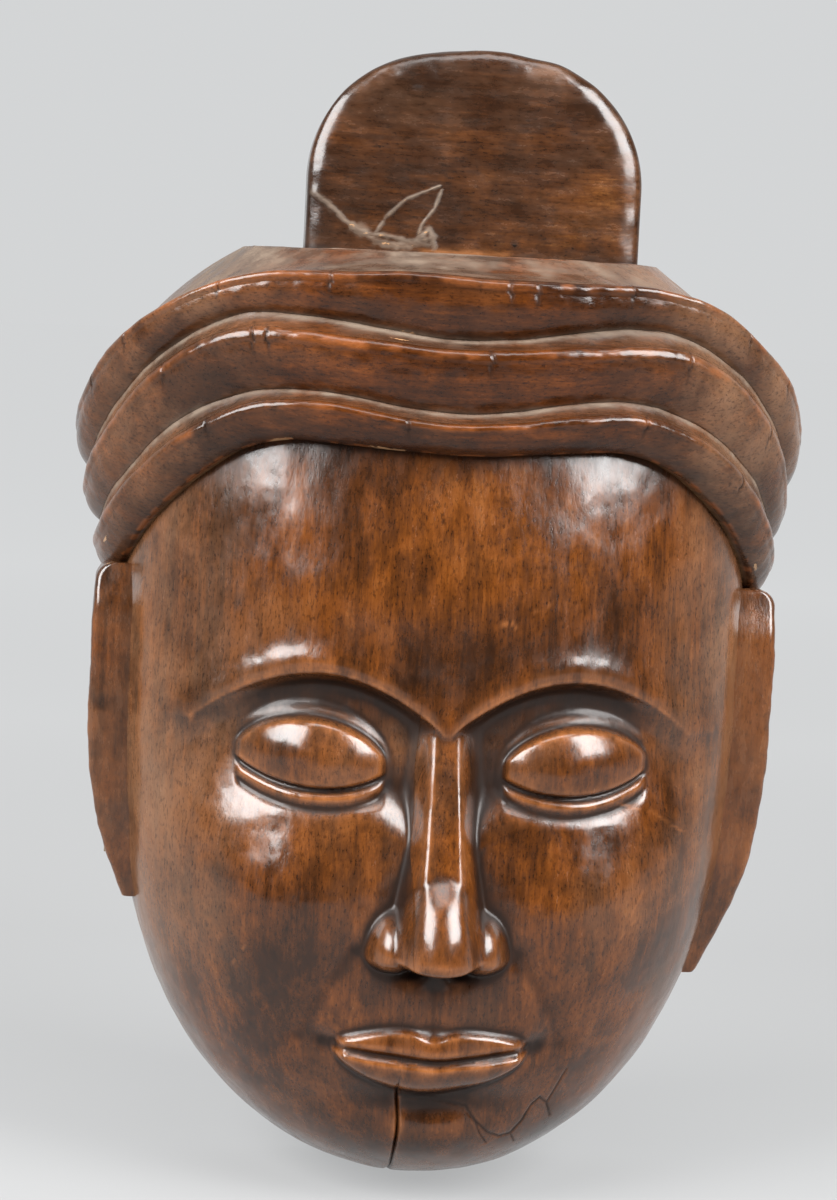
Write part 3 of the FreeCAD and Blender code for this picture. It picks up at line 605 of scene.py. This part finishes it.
def mouth_relief(x, z):
    """Two full closed lips, the upper with a shallow bow, meeting in a quiet line."""
    across = x / MOUTH_HALF_WIDTH
    share = unit(1 - across ** 2)
    line = MOUTH_HEIGHT + 4.0 * np.abs(across) ** 2.2 - 1.4 * bell(x, 9)
    top = line + (14.5 - 3 * bell(x, 5)) * share ** 0.75
    bottom = line - 18 * share ** 0.65
    up = unit((z - line) / np.maximum(top - line, 0.5))
    down = unit((line - z) / np.maximum(line - bottom, 0.5))
    upper_lip = (7.8 - 4.6 * up) * (1 - step(z - top, -2.2, 2.4))
    lower_lip = 8.5 * np.sqrt(unit(1 - (1.3 * down - 0.38) ** 2))
    lower_lip *= 1 - step(bottom - z, -3.0, 2.2)
    lips = np.where(z > line, upper_lip, lower_lip) * step(share, 0.0, 0.3)
    lips -= 3.6 * bell(z - line, 1.7) * step(share, 0.0, 0.15)
    lips -= 3.5 * bell(np.abs(x) - MOUTH_HALF_WIDTH - 2, 4.5) * bell(z - line, 4.5)
    philtrum = bell(x, 4.5) * step(z, top, top + 5) * (1 - step(z, NOSE_BASE - 8, NOSE_BASE - 1))
    return lips - 1.8 * philtrum


SMILE_FOLD = [(40, 132), (48, 118), (56, 103), (62, 88)]


def face_relief(x, z):
    """How far the carved face stands out of the plain oval."""
    side = np.abs(x)
    relief = -2.2 * bell(path_distance(side, z, SMILE_FOLD), 4.5)
    for out, up, width, height, rise in MOUNDS.values():
        relief += rise * bell(side - out, width) * bell(z - up, height)
    relief += socket_relief(side, z)
    relief = eye_relief(side, z, relief)
    relief = higher(relief, nose_relief(side, z), 4)
    relief -= 4 * bell(side - 11, 4) * bell(z - NOSE_BASE - 1, 2.8)
    return relief + mouth_relief(x, z)


CRACK_WIDTH, CRACK_DEPTH = 0.65, 0.9
CHIN_CRACK = [(-14, 61), (-8, 60), (2, 59), (11, 57), (19, 55), (24, 48), (31, 41), (37, 38), (43, 39),
              (48, 45), (52, 54), (56, 58), (60, 54), (63, 46)]
CHIN_BRANCHES = [[(60, 54), (65, 66), (68, 73)], [(24, 48), (27, 41), (31, 35)],
                 [(43, 39), (46, 33)]]
SCRATCHES = [[(84, 205), (104, 199), (121, 188)], [(92, 150), (97, 160), (101, 166)],
             [(88, 141), (95, 149)], [(-96, 120), (-90, 132)], [(20, 288), (27, 291), (31, 287)],
             [(38, 296), (46, 300)]]


def joint_line(z):
    """The glue joint between the boards, slightly wandering."""
    return JOINT + 0.7 * np.sin(z / 17) + 0.4 * np.sin(z / 6.1)


def joint_gap(z):
    """Half the width to which the joint has opened at the chin, with a chip at its foot."""
    return 0.02 + 0.25 * np.exp(-z / 26) + 0.06 * step(70 - z, 0, 25) + 1.5 * spot(z, 5.5)


def warped(places, weight):
    """Evenly counted places spread closer together where weight is high."""
    gaps = running((weight[1:] + weight[:-1]) / 2 * np.diff(places))
    return lambda count: np.interp(np.linspace(0, gaps[-1], count), gaps, places)


def row_heights(count, top):
    """Heights from under the chin to the top of the boards, closer together over the features."""
    profile = np.linspace(0, 1, 4000)
    heights = np.where(profile < 0.5, WIDEST_HEIGHT * (1 - np.cos(np.pi * profile)),
                       WIDEST_HEIGHT + (profile - 0.5) * 2 * (top - WIDEST_HEIGHT))
    _, depth = face_plan(heights)
    length = running(np.hypot(np.diff(heights), np.diff(depth)))
    weight = 1 + 1.3 * step(heights, 22, 36) * (1 - step(heights, 268, 285))
    return np.interp(warped(length, weight)(count), length, heights)


def column_shares(count):
    """Shares of the way from the joint to the rim, closer together over the features."""
    share = np.linspace(0, 1, 2000)
    return warped(share, 1 + 1.8 * (1 - step(share, 0.40, 0.58)))(count)


def face_points(direction, heights, share, inset):
    """Grid of a board's surface from the joint to the rim, without the carving."""
    joint_turn = -np.degrees(np.arcsin((abs(JOINT) / 150) ** (OVAL_POWER / 2)))
    nominal = share_at(joint_turn) + (direction - share_at(joint_turn)) * share
    top = hair_height("middle_crease", oval(turn_at(nominal))[0])
    z = heights[:, None] * (top / heights[-1])[None, :]
    under = inset * 1.25
    z = under + z * (1 - under / top[None, :])
    level = np.where(z < WIDEST_HEIGHT, (z - under) / (WIDEST_HEIGHT - under) * WIDEST_HEIGHT, z)
    half_width, depth = face_plan(level)
    half_width, depth = np.maximum(half_width - inset, 9), np.maximum(depth - inset, 9)
    joint_x = joint_line(z) + direction * joint_gap(z)
    joint_side = np.clip(np.abs(joint_x) / half_width, 0, 0.97)
    start = share_at(-np.degrees(np.arcsin(joint_side ** (OVAL_POWER / 2))))
    side, forward = oval(turn_at(start + (direction - start) * share[None, :]))
    return points_of(half_width * side, -depth * forward, z), forward


def carve_face(points, forward):
    """Carve the features, tool marks and cracks, and paint grime with painted shade, wear, and a pale
    film with painted reflection.
    """
    x, z = points[..., 0], points[..., 2]
    relief = face_relief(x, z) * unit(forward * 2.2)
    carved = points.copy()
    carved[..., 1] -= relief
    ways = points - [0, 30, 215]
    ways /= np.linalg.norm(ways, axis=-1, keepdims=True)
    marks = 0.50 * rough(points, 26, 3, 2) + 0.10 * rough(points, 7, 8, 2)
    carved += ways * (marks * unit(forward * 4))[..., None]
    crack = path_distance(x, z, CHIN_CRACK)
    for branch in CHIN_BRANCHES:
        crack = np.minimum(crack, path_distance(x, z, branch) + 0.2)
    crack_share = spot(crack, CRACK_WIDTH) * (0.75 + 0.25 * noise(points, 5, 31))
    opened = 0.8 + 0.9 * np.exp(-z / 22)
    joint_share = spot(np.abs(x - joint_line(z)), opened) * step(84 - z, 0, 30)
    carved[..., 1] += CRACK_DEPTH * crack_share + 2.2 * opened * joint_share
    fine, middling, broad = (hollows(carved, reach) for reach in (4, 30, 220))
    # Hollows at three sizes are painted dark: partly grime, partly painted shade where shade falls;
    # cracks and the glue joint are dark too.
    grime = np.clip(fine * 2.0, 0, 0.7) + np.clip(middling * 0.8 - 0.05, 0, 0.6)
    grime += np.clip(broad * 0.22 - 0.06, 0, 0.5) + 0.8 * crack_share + 0.7 * joint_share
    # A painted shadow under the overhanging hairline, and darker towards the bottom of the chin.
    under_hair = hair_height("hairline", x / HAIR_LINES["hairline"][0]) - z
    grime += 0.60 * np.exp(-np.maximum(under_hair, 0) / 10) + 0.5 * np.exp(-z / 16)
    wear = np.clip(-fine * 1.4 - 0.05, 0, 0.4) + np.clip(-middling * 0.5 - 0.10, 0, 0.35)
    scratches = sum(spot(path_distance(x, z, path), 0.6) for path in SCRATCHES)
    wear = wear + 0.55 * scratches * (noise(points, 4, 21) > -0.2)
    # Paler towards the sides and below the brows: partly a film, partly a painted reflection of the pale
    # room.
    haze_and_reflection = 0.75 * step(np.abs(x), 78, 150) + 0.35 * rough(points, 60, 50, 3)
    haze_and_reflection += 0.35 * bell(z - brow_line(np.abs(x)) + 16, 10) * bell(np.abs(x) - 60, 40)
    return carved, dict(grime=grime, wear=wear, haze_and_reflection=haze_and_reflection)


def make_face_board(name, direction, columns):
    """A board with its carving outside, and a coarser hollow side behind it."""
    ratio = 6
    heights = row_heights(361, max(HAIR_LINES["middle_crease"][2:4]))
    share = column_shares(columns)
    solid = Solid()
    outer, forward = face_points(direction, heights, share, 0)
    carved, paint = carve_face(outer, forward)
    front = solid.add(carved, **paint)
    solid.skin(front)
    inner, _ = face_points(direction, heights[::ratio], share[::ratio], WALL)
    inner[1:-1, 1:-1, 1] += 1.3 * rough(inner, 26, 40, 2)[1:-1, 1:-1]
    back = solid.add(inner, raw=1.0, grime=0.1)
    solid.skin(back)
    for end in (0, -1):
        solid.bridge(front[end], back[end])
        solid.bridge(front[:, end], back[:, end])
    solid.finish(name, "face_wood", ["lower_batten"])


make_face_board("face_board_left", -1, 211)
make_face_board("face_board_right", 1, 241)


# ------------ hair bands

HOLLOW = (124, 80)
CEILING, CROWN_TOP = span("crown_block", 2)
BAND_COLUMNS = 661
CROWN_SHARE = 0.55
RIDGE_RADIUS, REAR_RIDGE_RADIUS = 4.0, 5.0
SHOULDER_SHARE, SHOULDER_HEIGHT = 0.8, 453


def bulged(first, second, shares, bulge, out):
    """Stations from one edge to the next, swelling out (+) or hollowed (-) by bulge between them."""
    along = second - first
    run = np.sum(along * out, axis=-1)
    rise = along[:, 2]
    length = np.hypot(run, rise)
    square = (-rise / length)[:, None] * out
    square[:, 2] += run / length
    return [mixed(first, second, k) + square * (bulge * 4 * k * (1 - k)) for k in shares]


def rounded(before, corner, after, count):
    """Stations of a small round between two points beside a corner."""
    return [mixed(mixed(before, corner, k), mixed(corner, after, k), k)
            for k in np.linspace(0, 1, count)]


def toward(start, goal, distance):
    way = goal - start
    return start + way * np.minimum(distance / np.linalg.norm(way, axis=-1, keepdims=True), 0.45)


def spaced(kind, stations):
    """Label stations with their kind and their place along it from 0 to 1."""
    return [(kind, index / (len(stations) - 1)) for index in range(len(stations))]


def edge_stations(crease, ridge, bottom, out):
    """A band's visible profile, labelled: hollowed ledge, rounded ridge and broad face."""
    before, after = (toward(ridge, goal, RIDGE_RADIUS) for goal in (crease, bottom))
    ledge = bulged(crease, before, np.linspace(0, 1, 15)[:-1], -1.0, out)
    crest = rounded(before, ridge, after, 9)
    face = bulged(after, bottom, np.linspace(0, 1, 25)[1:], 1.4, out)
    return ledge + crest + face, spaced("ledge", ledge) + spaced("crest", crest) + spaced("face", face)


TICKS = {"upper": (-71, -58, -36, -17, 4, 7, 21, 47, 62), "middle": (-49, -30, -27, 2, 33, 58),
         "lower": (-40, -6, 26, 51)}
CHIPS = {"upper": (("face", -6, 1.0, 1.0),), "middle": (("ledge", -7, 0.55, 1.6),),
         "lower": (("face", -27, 1.0, 2.6), ("face", -9, 1.0, 2.8), ("face", 70, 0.8, 1.0),
                   ("face", -76, 0.2, 1.0))}


def band_paint(stations, kinds, turns, name):
    """Dust at the foot of the ledge, wear on the ridge, dark ticks across it and pale chips; each face
    darker towards its foot as painted shade, and the sides paler as painted reflection.
    """
    grid = np.stack(stations)
    grime, wear, dust, chip, haze_and_reflection = (np.zeros(grid.shape[:2]) for _ in range(5))
    patch = rough(grid, 30, 60, 3)
    fine = rough(grid, 6, 66, 2)
    for row, (kind, place) in enumerate(kinds):
        ragged = unit(0.75 + 0.6 * patch[row] + 0.4 * fine[row])
        if kind == "ledge":
            dust[row] = spot(place - 0.1, 0.14) * (0.4 + 0.6 * ragged) + 0.08
            dust[row] += 0.30 * spot(place, 0.5) * ragged
        elif kind == "top":
            uneven = np.clip(0.48 + 0.50 * patch[row] + 0.25 * fine[row] - 0.005 * turns, 0.08, 1)
            dust[row] = (1.0 - 0.5 * place ** 3) * uneven
        elif kind == "crest":
            wear[row] = 0.50 * np.sin(np.pi * place) * unit(0.4 + patch[row] + fine[row])
        elif name == "lower":
            # Darker towards the foot of the face, under the ridge: painted shade.
            grime[row] = 0.12 * np.exp((place - 1) / 0.12) + 0.35 * place
            wear[row] = 0.7 * bell(place - 1, 0.03) * (fine[row] > 0.1)
        else:
            # Darker towards the foot of the face, under the ridge: painted shade.
            grime[row] = 0.12 * np.exp((place - 1) / 0.12) + 0.10 * place
            dust[row] = 0.9 * np.exp((place - 1) / 0.05) * ragged
        # Paler towards the sides and more on the right: a painted reflection of the softboxes over some
        # film.
        haze_and_reflection[row] = (0.92 + 0.006 * turns) * step(np.abs(turns), 14, 50) + 0.20 * patch[row]
        reach = {"crest": 1.0, "ledge": 0.4 * place, "face": unit(1 - place / 0.4)}
        for tick in TICKS[name]:
            lean = 0.5 * np.sin(tick) * place
            near = spot(turns - tick - lean, 0.32)
            grime[row] += 0.9 * reach.get(kind, 0) * near
        for place_kind, turn, where, width in CHIPS[name]:
            if kind == place_kind:
                chip[row] += 0.75 * bell(turns - turn, width) * bell(place - where, 0.05)
    return dict(grime=grime, wear=wear, dust=dust, chip=chip, haze_and_reflection=haze_and_reflection), grid


def make_band(name, visible, kinds, hidden, turns, housed=()):
    """Sweep a closed profile round the head. visible and hidden are its stations in order."""
    paint, grid = band_paint(visible, kinds, turns, name.split("_")[-1])
    out = outward(turns)
    marks = 0.5 * rough(grid, 18, 70, 2) + 0.18 * rough(grid, 5, 77, 2)
    scale = unit(oval(turns)[1] * 4)
    grid = grid + out[None] * (marks * scale)[..., None]
    ticks = np.clip(paint["grime"] - 0.55, 0, 0.3) * scale
    grid -= out[None] * (2.2 * ticks)[..., None]
    solid = Solid()
    shown = solid.add(grid, **paint)
    inner = solid.add(np.stack(hidden), raw=1.0)
    ids = np.vstack([shown, inner])
    solid.skin(ids, closed=True)
    solid.cap(ids[:, 0])
    solid.cap(ids[::-1, -1])
    solid.finish(name, "hair_wood", housed)


def make_bands():
    turns = turn_at(np.linspace(-1, 1, BAND_COLUMNS))
    out = outward(turns)
    line = {key: hair_line(key, turns, 100 + 10 * index) for index, key in enumerate(HAIR_LINES)}

    front = [line[key] for key in ("middle_crease", "lower_ridge", "hairline")]
    stations, kinds = edge_stations(*front, out)
    under = [line["hairline"] - out * depth + [0, 0, rise]
             for depth, rise in ((1.0, -0.6), (2.5, -0.2))]
    glued = (line["hairline"][:, 2] + 0.5, line["middle_crease"][:, 2])
    inside = [on_oval(turns, *face_plan(height), height) for height in glued]
    make_band("hair_band_lower", stations + under, kinds + [("face", 1.0)] * 2, inside, turns)

    middle = [line[key] for key in ("upper_crease", "middle_ridge", "middle_crease")]
    stations, kinds = edge_stations(*middle, out)
    inside = [on_oval(turns, *HOLLOW, middle[k][:, 2]) for k in (2, 0)]
    make_band("hair_band_middle", stations, kinds, inside, turns, ["upper_batten"])

    make_upper_band(turns, out, line)


def in_ridge(share, turns, height):
    """The upper ridge's plan, made smaller to a share of itself."""
    half_width, depth = HAIR_LINES["upper_ridge"][:2]
    return on_oval(turns, half_width * share, depth * share, height)


def make_upper_band(turns, out, line):
    """The rear step, whose top rises gently to the crown block."""
    side, forward = oval(turns)
    ridge, bottom = line["upper_ridge"], line["upper_crease"]
    edge = in_ridge(CROWN_SHARE, turns, CROWN_TOP - 0.5)
    lip = in_ridge(CROWN_SHARE + 0.01 + 0.14 * forward ** 2, turns, CROWN_TOP - 0.5)
    shoulder = in_ridge(SHOULDER_SHARE, turns, SHOULDER_HEIGHT - 28 * np.abs(side) ** 3)
    before, after = (toward(ridge, goal, REAR_RIDGE_RADIUS) for goal in (shoulder, bottom))
    top = [edge] + rounded(lip, 2 * shoulder - (lip + before) / 2, before, 26)[:-1]
    crest = rounded(before, ridge, after, 10)
    face = bulged(after, bottom, np.linspace(0, 1, 25)[1:], 2.2, out)
    kinds = spaced("top", top) + spaced("crest", crest) + spaced("face", face)
    hidden = [on_oval(turns, *HOLLOW, bottom[:, 2]), on_oval(turns, *HOLLOW, CEILING),
              in_ridge(CROWN_SHARE, turns, CEILING)]
    make_band("hair_band_upper", top + crest + face, kinds, hidden, turns, ["upper_batten"])


make_bands()


# ------------ crown block and topknot board

def arch(half_width, corner, crest, crest_radius, count):
    """Outline of an arch standing on a flat foot, counter-clockwise from the foot's right end."""
    inset, crest_centre = half_width - corner, crest - crest_radius
    corner_height = crest_centre + math.sqrt((crest_radius - corner) ** 2 - inset ** 2)
    lean = math.atan2(corner_height - crest_centre, inset)
    pieces = [points_of(half_width, np.linspace(0, corner_height, 40))]
    for x, y, radius, low, high in ((inset, corner_height, corner, 0, lean),
                                    (0, crest_centre, crest_radius, lean, math.pi - lean),
                                    (-inset, corner_height, corner, math.pi - lean, math.pi)):
        angles = np.linspace(low, high, 120)[1:]
        pieces.append(points_of(x + radius * np.cos(angles), y + radius * np.sin(angles)))
    pieces.append(pieces[0][::-1][1:] * [-1, 1])
    pieces.append(points_of(np.linspace(-half_width, half_width, 80)[1:], 0))
    outline = np.concatenate(pieces)
    length = running(np.linalg.norm(np.diff(outline, axis=0), axis=1))
    places = np.linspace(0, length[-1], count + 1)[:-1]
    return points_of(*(np.interp(places, length, outline[:, k]) for k in (0, 1)))


def inset_outline(outline, distance):
    """The outline moved inwards, with its foot left where it is."""
    ahead, behind = np.roll(outline, -1, axis=0), np.roll(outline, 1, axis=0)
    tangent = ahead - behind
    normal = points_of(-tangent[:, 1], tangent[:, 0])
    normal /= np.linalg.norm(normal, axis=-1, keepdims=True)
    moved = outline + normal * distance
    limit = outline[:, 0].max() - distance
    up = np.where(outline[:, 1] < 0.01, 0, np.maximum(moved[:, 1], 0))
    return points_of(np.clip(moved[:, 0], -limit, limit), up)


def board_rings(outline, thickness, rounding, reach, rings, to_space):
    """Rings of a board from the middle of its back, over the rounded front rim, to the front's
    middle. The rim falls by rounding over a width of reach. to_space places (across, up, depth
    below the front face)."""
    middle = np.array([0, outline[:, 1].max() * 0.42])
    result = []
    for share in (0.35, 0.7, 1.0):
        result.append(to_space(mixed(middle, outline, share), thickness))
    for depth in np.linspace(thickness, rounding, 6)[1:]:
        result.append(to_space(outline, depth))
    for angle in np.linspace(0, math.pi / 2, 13)[1:]:
        ring = inset_outline(outline, reach * (1 - math.cos(angle)))
        result.append(to_space(ring, rounding * (1 - math.sin(angle))))
    for share in np.linspace(1, 0.02, rings)[1:]:
        result.append(to_space(mixed(middle, inset_outline(outline, reach), share), 0))
    return np.stack(result)


# Radii of the corners and of the flatter crest of both boards, and marks on the topknot's front as
# (across, up) from the middle of its foot: lines of old glue, dents and the nail.
TOPKNOT_CORNER, TOPKNOT_CREST = 62, 150
CROWN_CORNER, CROWN_CREST = 42, 230
RESIDUE = [[(-79, 27), (-72, 22), (-63, 14), (-56, 9), (-46, 8), (-33, 6), (-22, 4)],
           [(-60, 12), (-48, 5), (-34, 3), (-20, 8)], [(-50, 5), (-44, 16), (-34, 26), (-18, 33)],
           [(-28, 5), (-26, 14), (-20, 22), (-17, 31)], [(-31, 3), (-22, 12), (-19, 3)]]
RESIDUE_WIDTHS = (1.0, 1.7, 0.55, 0.5, 1.2)
DENTS = ((-43, 86, 2.6), (-31, 79, 2.2), (-53, 74, 1.8), (-22, 88, 1.5))
NAIL_PLACE = (20, 6.5)


def make_topknot():
    """Half-round board with a rounded rim, dents, and a crust of old glue at its foot."""
    (left, right), (front, back), (foot, top) = (span("topknot_board", axis) for axis in range(3))
    centre = (left + right) / 2
    outline = arch((right - left) / 2, TOPKNOT_CORNER, top - foot, TOPKNOT_CREST, 420)

    def to_space(flat, depth):
        return points_of(flat[:, 0] + centre, front + depth, flat[:, 1] + foot)

    grid = board_rings(outline, back - front, 6, 13, 74, to_space)
    at_foot = grid[..., 2] < foot + 0.5
    facing = grid[..., 1] < front + 5.9
    marks = 0.9 * rough(grid, 34, 130, 2) + 0.3 * rough(grid, 9, 138, 2)
    grid[..., 1] += np.where(facing, marks, 0)
    rim = np.where(at_foot | ~facing, 0, 1.0)
    grid[..., 2] += 0.8 * rough(grid, 26, 150, 2) * rim
    x, up = grid[..., 0] - centre, grid[..., 2] - foot
    crust = np.zeros(x.shape)
    for path, width in zip(RESIDUE, RESIDUE_WIDTHS):
        ragged = width * (1 + 0.8 * noise(grid, 2.2, 160))
        crust = np.maximum(crust, spot(path_distance(x, up, path), ragged))
    crust *= facing
    grid[..., 1] -= 0.5 * crust
    dents = sum(spot(np.hypot(x - across, (up - rise) * 2), size) for across, rise, size in DENTS)
    grid[..., 1] += 0.7 * dents * facing
    hole = spot(np.hypot(x - NAIL_PLACE[0], up - NAIL_PLACE[1]), 2.2) * facing
    foot_wear = bell(up - 1.2, 1.1) * (1 - step(np.abs(x + 4), 18, 24)) * facing
    rim_wear = bell(grid[..., 1] - front - 2.0, 1.4) * (up > 2)
    # Darker towards the foot, where the board stands on the crown block, in the nail hole and in the
    # dents.
    grime = unit(0.8 * np.exp(-np.maximum(up, 0) / 2.5) * (1 - crust) + hole + 0.35 * dents)
    solid = Solid()
    wear = 0.35 * rim_wear * unit(0.5 + marks) + 0.9 * foot_wear
    ids = solid.add(grid, grime=0.9 * unit(grime - 0.8 * foot_wear), wear=wear,
                    dust=1.3 * crust + 0.05, chip=0.36 * crust ** 2)
    solid.tube(ids)
    solid.finish("topknot_board", "topknot_wood")


def make_crown():
    """Half-oval block let into the top of the hair, its rim rounded and its top dusty."""
    half_width, depth = span("crown_block", 0)[1], -span("crown_block", 1)[0]
    outline = arch(half_width, CROWN_CORNER, depth, CROWN_CREST, 360)

    def to_space(flat, depth):
        return points_of(flat[:, 0], -flat[:, 1], CROWN_TOP - depth)

    grid = board_rings(outline, CROWN_TOP - CEILING, 1.5, 1.5, 40, to_space)
    top = grid[..., 2] > CROWN_TOP - 1.4
    back = grid[..., 1] > -1
    marks = 0.7 * rough(grid, 30, 170, 2) + 0.25 * rough(grid, 8, 178, 2)
    grid[..., 2] += np.where(top & ~back, np.minimum(marks, 0.2), 0)
    solid = Solid()
    patch = rough(grid, 24, 174, 3)
    dust = np.clip(0.48 + 0.5 * patch - 0.003 * grid[..., 0], 0.08, 1)
    ids = solid.add(grid, dust=np.where(top, dust, 0.4), raw=back * 0.8)
    solid.tube(ids)
    solid.finish("crown_block", "hair_wood")


make_topknot()
make_crown()


# ------------ ears

EAR_STAND_OFF, EAR_LET_IN = 12, 16
EAR_EDGE, EAR_CORNER = 3.5, 9


def make_ear(name, direction):
    """Long flat strip with rounded edges, following the side of the face."""
    (front, back), (bottom, top) = span(name, 1), span(name, 2)
    heights = np.linspace(bottom, top, 150)
    share = (heights - bottom) / (top - bottom)
    half_width, _ = face_plan(heights)
    stand_off = EAR_STAND_OFF * np.sin(np.radians(15 + 75 * np.minimum(share * 2, 1)))
    into_corner = np.clip((heights - top) / EAR_CORNER + 1, 0, 0.999)
    outer = half_width + stand_off - (EAR_CORNER - 1) * (1 - np.sqrt(1 - into_corner ** 2))
    inner = half_width - EAR_LET_IN
    lead = 10 * (1 - step(share, 0, 0.3)) + 5 * step(share, 0.86, 1)
    side_front, side_back = front + lead + EAR_EDGE, back - EAR_EDGE

    def edge_round(centre, first):
        angles = [math.radians(first + turn) for turn in range(0, 91, 15)]
        return [(outer - EAR_EDGE + EAR_EDGE * math.cos(angle), centre + EAR_EDGE * math.sin(angle))
                for angle in angles]

    ring = edge_round(side_back, 0) + [(inner, back), (inner, front + lead)]
    ring += edge_round(side_front, -90)
    ring += [(outer, mixed(side_front, side_back, k)) for k in np.linspace(0, 1, 14)[1:-1]]
    grid = np.stack([points_of(direction * x, y, heights) for x, y in ring], axis=1)
    marks = 0.7 * rough(grid, 22, 190, 2) + 0.35 * rough(grid, 7, 195, 2)
    grid[1:-1, :, 0] += (marks * direction)[1:-1]
    solid = Solid()
    edge = bell(grid[..., 1] - side_front[:, None], 2.6)
    streak = rough(grid * [1, 1, 0.25], 16, 199, 3)
    ends = np.maximum(np.exp(-(1 - share) / 0.03), np.exp(-share / 0.03))[:, None]
    ids = solid.add(grid, wear=0.6 * edge * unit(0.4 + marks), grime=0.10 + 0.55 * streak, dust=0.10,
                    chip=0.62 * edge * ends)
    solid.tube(ids)
    solid.finish(name, "ear_wood")


make_ear("ear_left", -1)
make_ear("ear_right", 1)


# ------------ carried-over CAD pieces

CARRIED_OVER = (
    (batten_wood, ("upper_batten", "lower_batten")),
    (screw_steel, ("upper_batten_screws", "lower_batten_screws", "hanger_screws")),
    (hanger_steel, ("hanger_plate", "hanger_ring")),
    (cramp_iron, ("joint_cramps",)),
    (nail_iron, ("topknot_nail",)),
    (dowel_wood, ("face_dowels", "hair_dowels", "band_pegs", "crown_dowels", "topknot_dowels",
                  "ear_pegs")),
)
BEVELS = {"upper_batten": 0.0012, "lower_batten": 0.0012, "joint_cramps": 0.0005}


def dress_node(name, material):
    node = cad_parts[name]
    node.data.materials.clear()
    node.data.materials.append(material)
    if name in BEVELS:
        bevel = node.modifiers.new("worn_edges", "BEVEL")
        bevel.width = BEVELS[name]
        bevel.segments = 2
        bevel.limit_method = "ANGLE"


for node_material, node_names in CARRIED_OVER:
    for node_name in node_names:
        dress_node(node_name, node_material)


# ------------ stage, light and camera

BACKDROP = (0.655, 0.665, 0.672)
ROOM = (0.03, 0.03, 0.03)
MIDDLE = Vector((0, -0.06, CHIN + 0.5 * (CAD_BOUNDS[1][2] - CHIN)))
# Each softbox's azimuth, elevation, distance, width, height and power.
LIGHTS = {"left_box": (-54, 30, 1.7, 1.0, 1.1, 68), "right_box": (48, 32, 1.7, 0.9, 1.1, 64),
          "top_box": (0, 68, 1.6, 1.1, 0.5, 12)}
CAMERA_AZIMUTH, CAMERA_ELEVATION = -5, 6
CAMERA_SHIFT = Vector((-0.011, 0, 0.0125))
CAMERA_DISTANCE = 1.388
CAMERA_ROLL = 2.9


def make_floor():
    """Pale paper under and behind the mask, falling away into the dim room in front."""
    bpy.ops.mesh.primitive_plane_add(size=60, location=(0, 0, CHIN - 0.0006))
    floor = bpy.context.object
    floor.name = "floor"
    paper = bpy.data.materials.new("floor_paper")
    n = Nodes(paper)
    n.fix("Base Color", (0.13, 0.13, 0.13, 1))
    split = n.node("ShaderNodeSeparateXYZ", {"Vector": n.place((1, 1, 1))})
    behind = n.spread(split.outputs["Y"], -2.6, 3.0)
    near, middle, far = (tuple(share * level for level in BACKDROP) for share in (0.63, 0.83, 0.94))
    n.link(n.ramp(behind, [(0.0, (0, 0, 0)), (0.42, near), (0.55, near), (0.72, middle), (1.0, far)]),
           "Emission Color")
    n.fix("Emission Strength", 1.0)
    n.fix("Roughness", 1.0)
    n.fix("Specular IOR Level", 0.0)
    floor.data.materials.append(paper)


def make_world():
    """Pale sweep behind the mask, and a dimmer room in front of it."""
    world = bpy.data.worlds.new("studio")
    bpy.context.scene.world = world
    n = Nodes(world, "Background")
    direction = n.node("ShaderNodeTexCoord").outputs["Generated"]
    split = n.node("ShaderNodeSeparateXYZ", {"Vector": direction})
    n.link(n.ramp(split.outputs["Y"], [(0.0, ROOM), (0.35, BACKDROP)]), "Color")


def way_out(azimuth, elevation):
    """Direction away from the mask at angles in degrees, to the right of and above straight ahead."""
    turn, rise = math.radians(azimuth), math.radians(elevation)
    return Vector((math.sin(turn) * math.cos(rise), -math.cos(turn) * math.cos(rise), math.sin(rise)))


def aimed(name, data, away, place):
    """A light or camera at a place, looking back along a direction."""
    device = bpy.data.objects.new(name, data)
    device.location = place
    device.rotation_euler = (-away).to_track_quat("-Z", "Y").to_euler("XYZ")
    bpy.context.scene.collection.objects.link(device)
    return device


def soft_light(name, azimuth, elevation, distance, width, height, power):
    """A softbox aimed at the middle of the mask."""
    away = way_out(azimuth, elevation)
    data = bpy.data.lights.new(name, "AREA")
    data.shape = "RECTANGLE"
    data.size, data.size_y = width, height
    data.energy = power
    aimed(name, data, away, MIDDLE + away * distance)


def make_camera():
    """Long lens a little above the mask, rolled so that the head leans as it was set down."""
    away = way_out(CAMERA_AZIMUTH, CAMERA_ELEVATION)
    data = bpy.data.cameras.new("camera")
    data.lens = 85
    data.sensor_width = 36
    data.dof.use_dof = False
    camera = aimed("camera", data, away, MIDDLE + CAMERA_SHIFT + away * CAMERA_DISTANCE)
    camera.rotation_euler.rotate_axis("Z", math.radians(CAMERA_ROLL))
    bpy.context.scene.camera = camera


make_floor()
make_world()
for light_name, light_settings in LIGHTS.items():
    soft_light(light_name, *light_settings)
make_camera()
bpy.context.scene.view_settings.view_transform = "Standard"
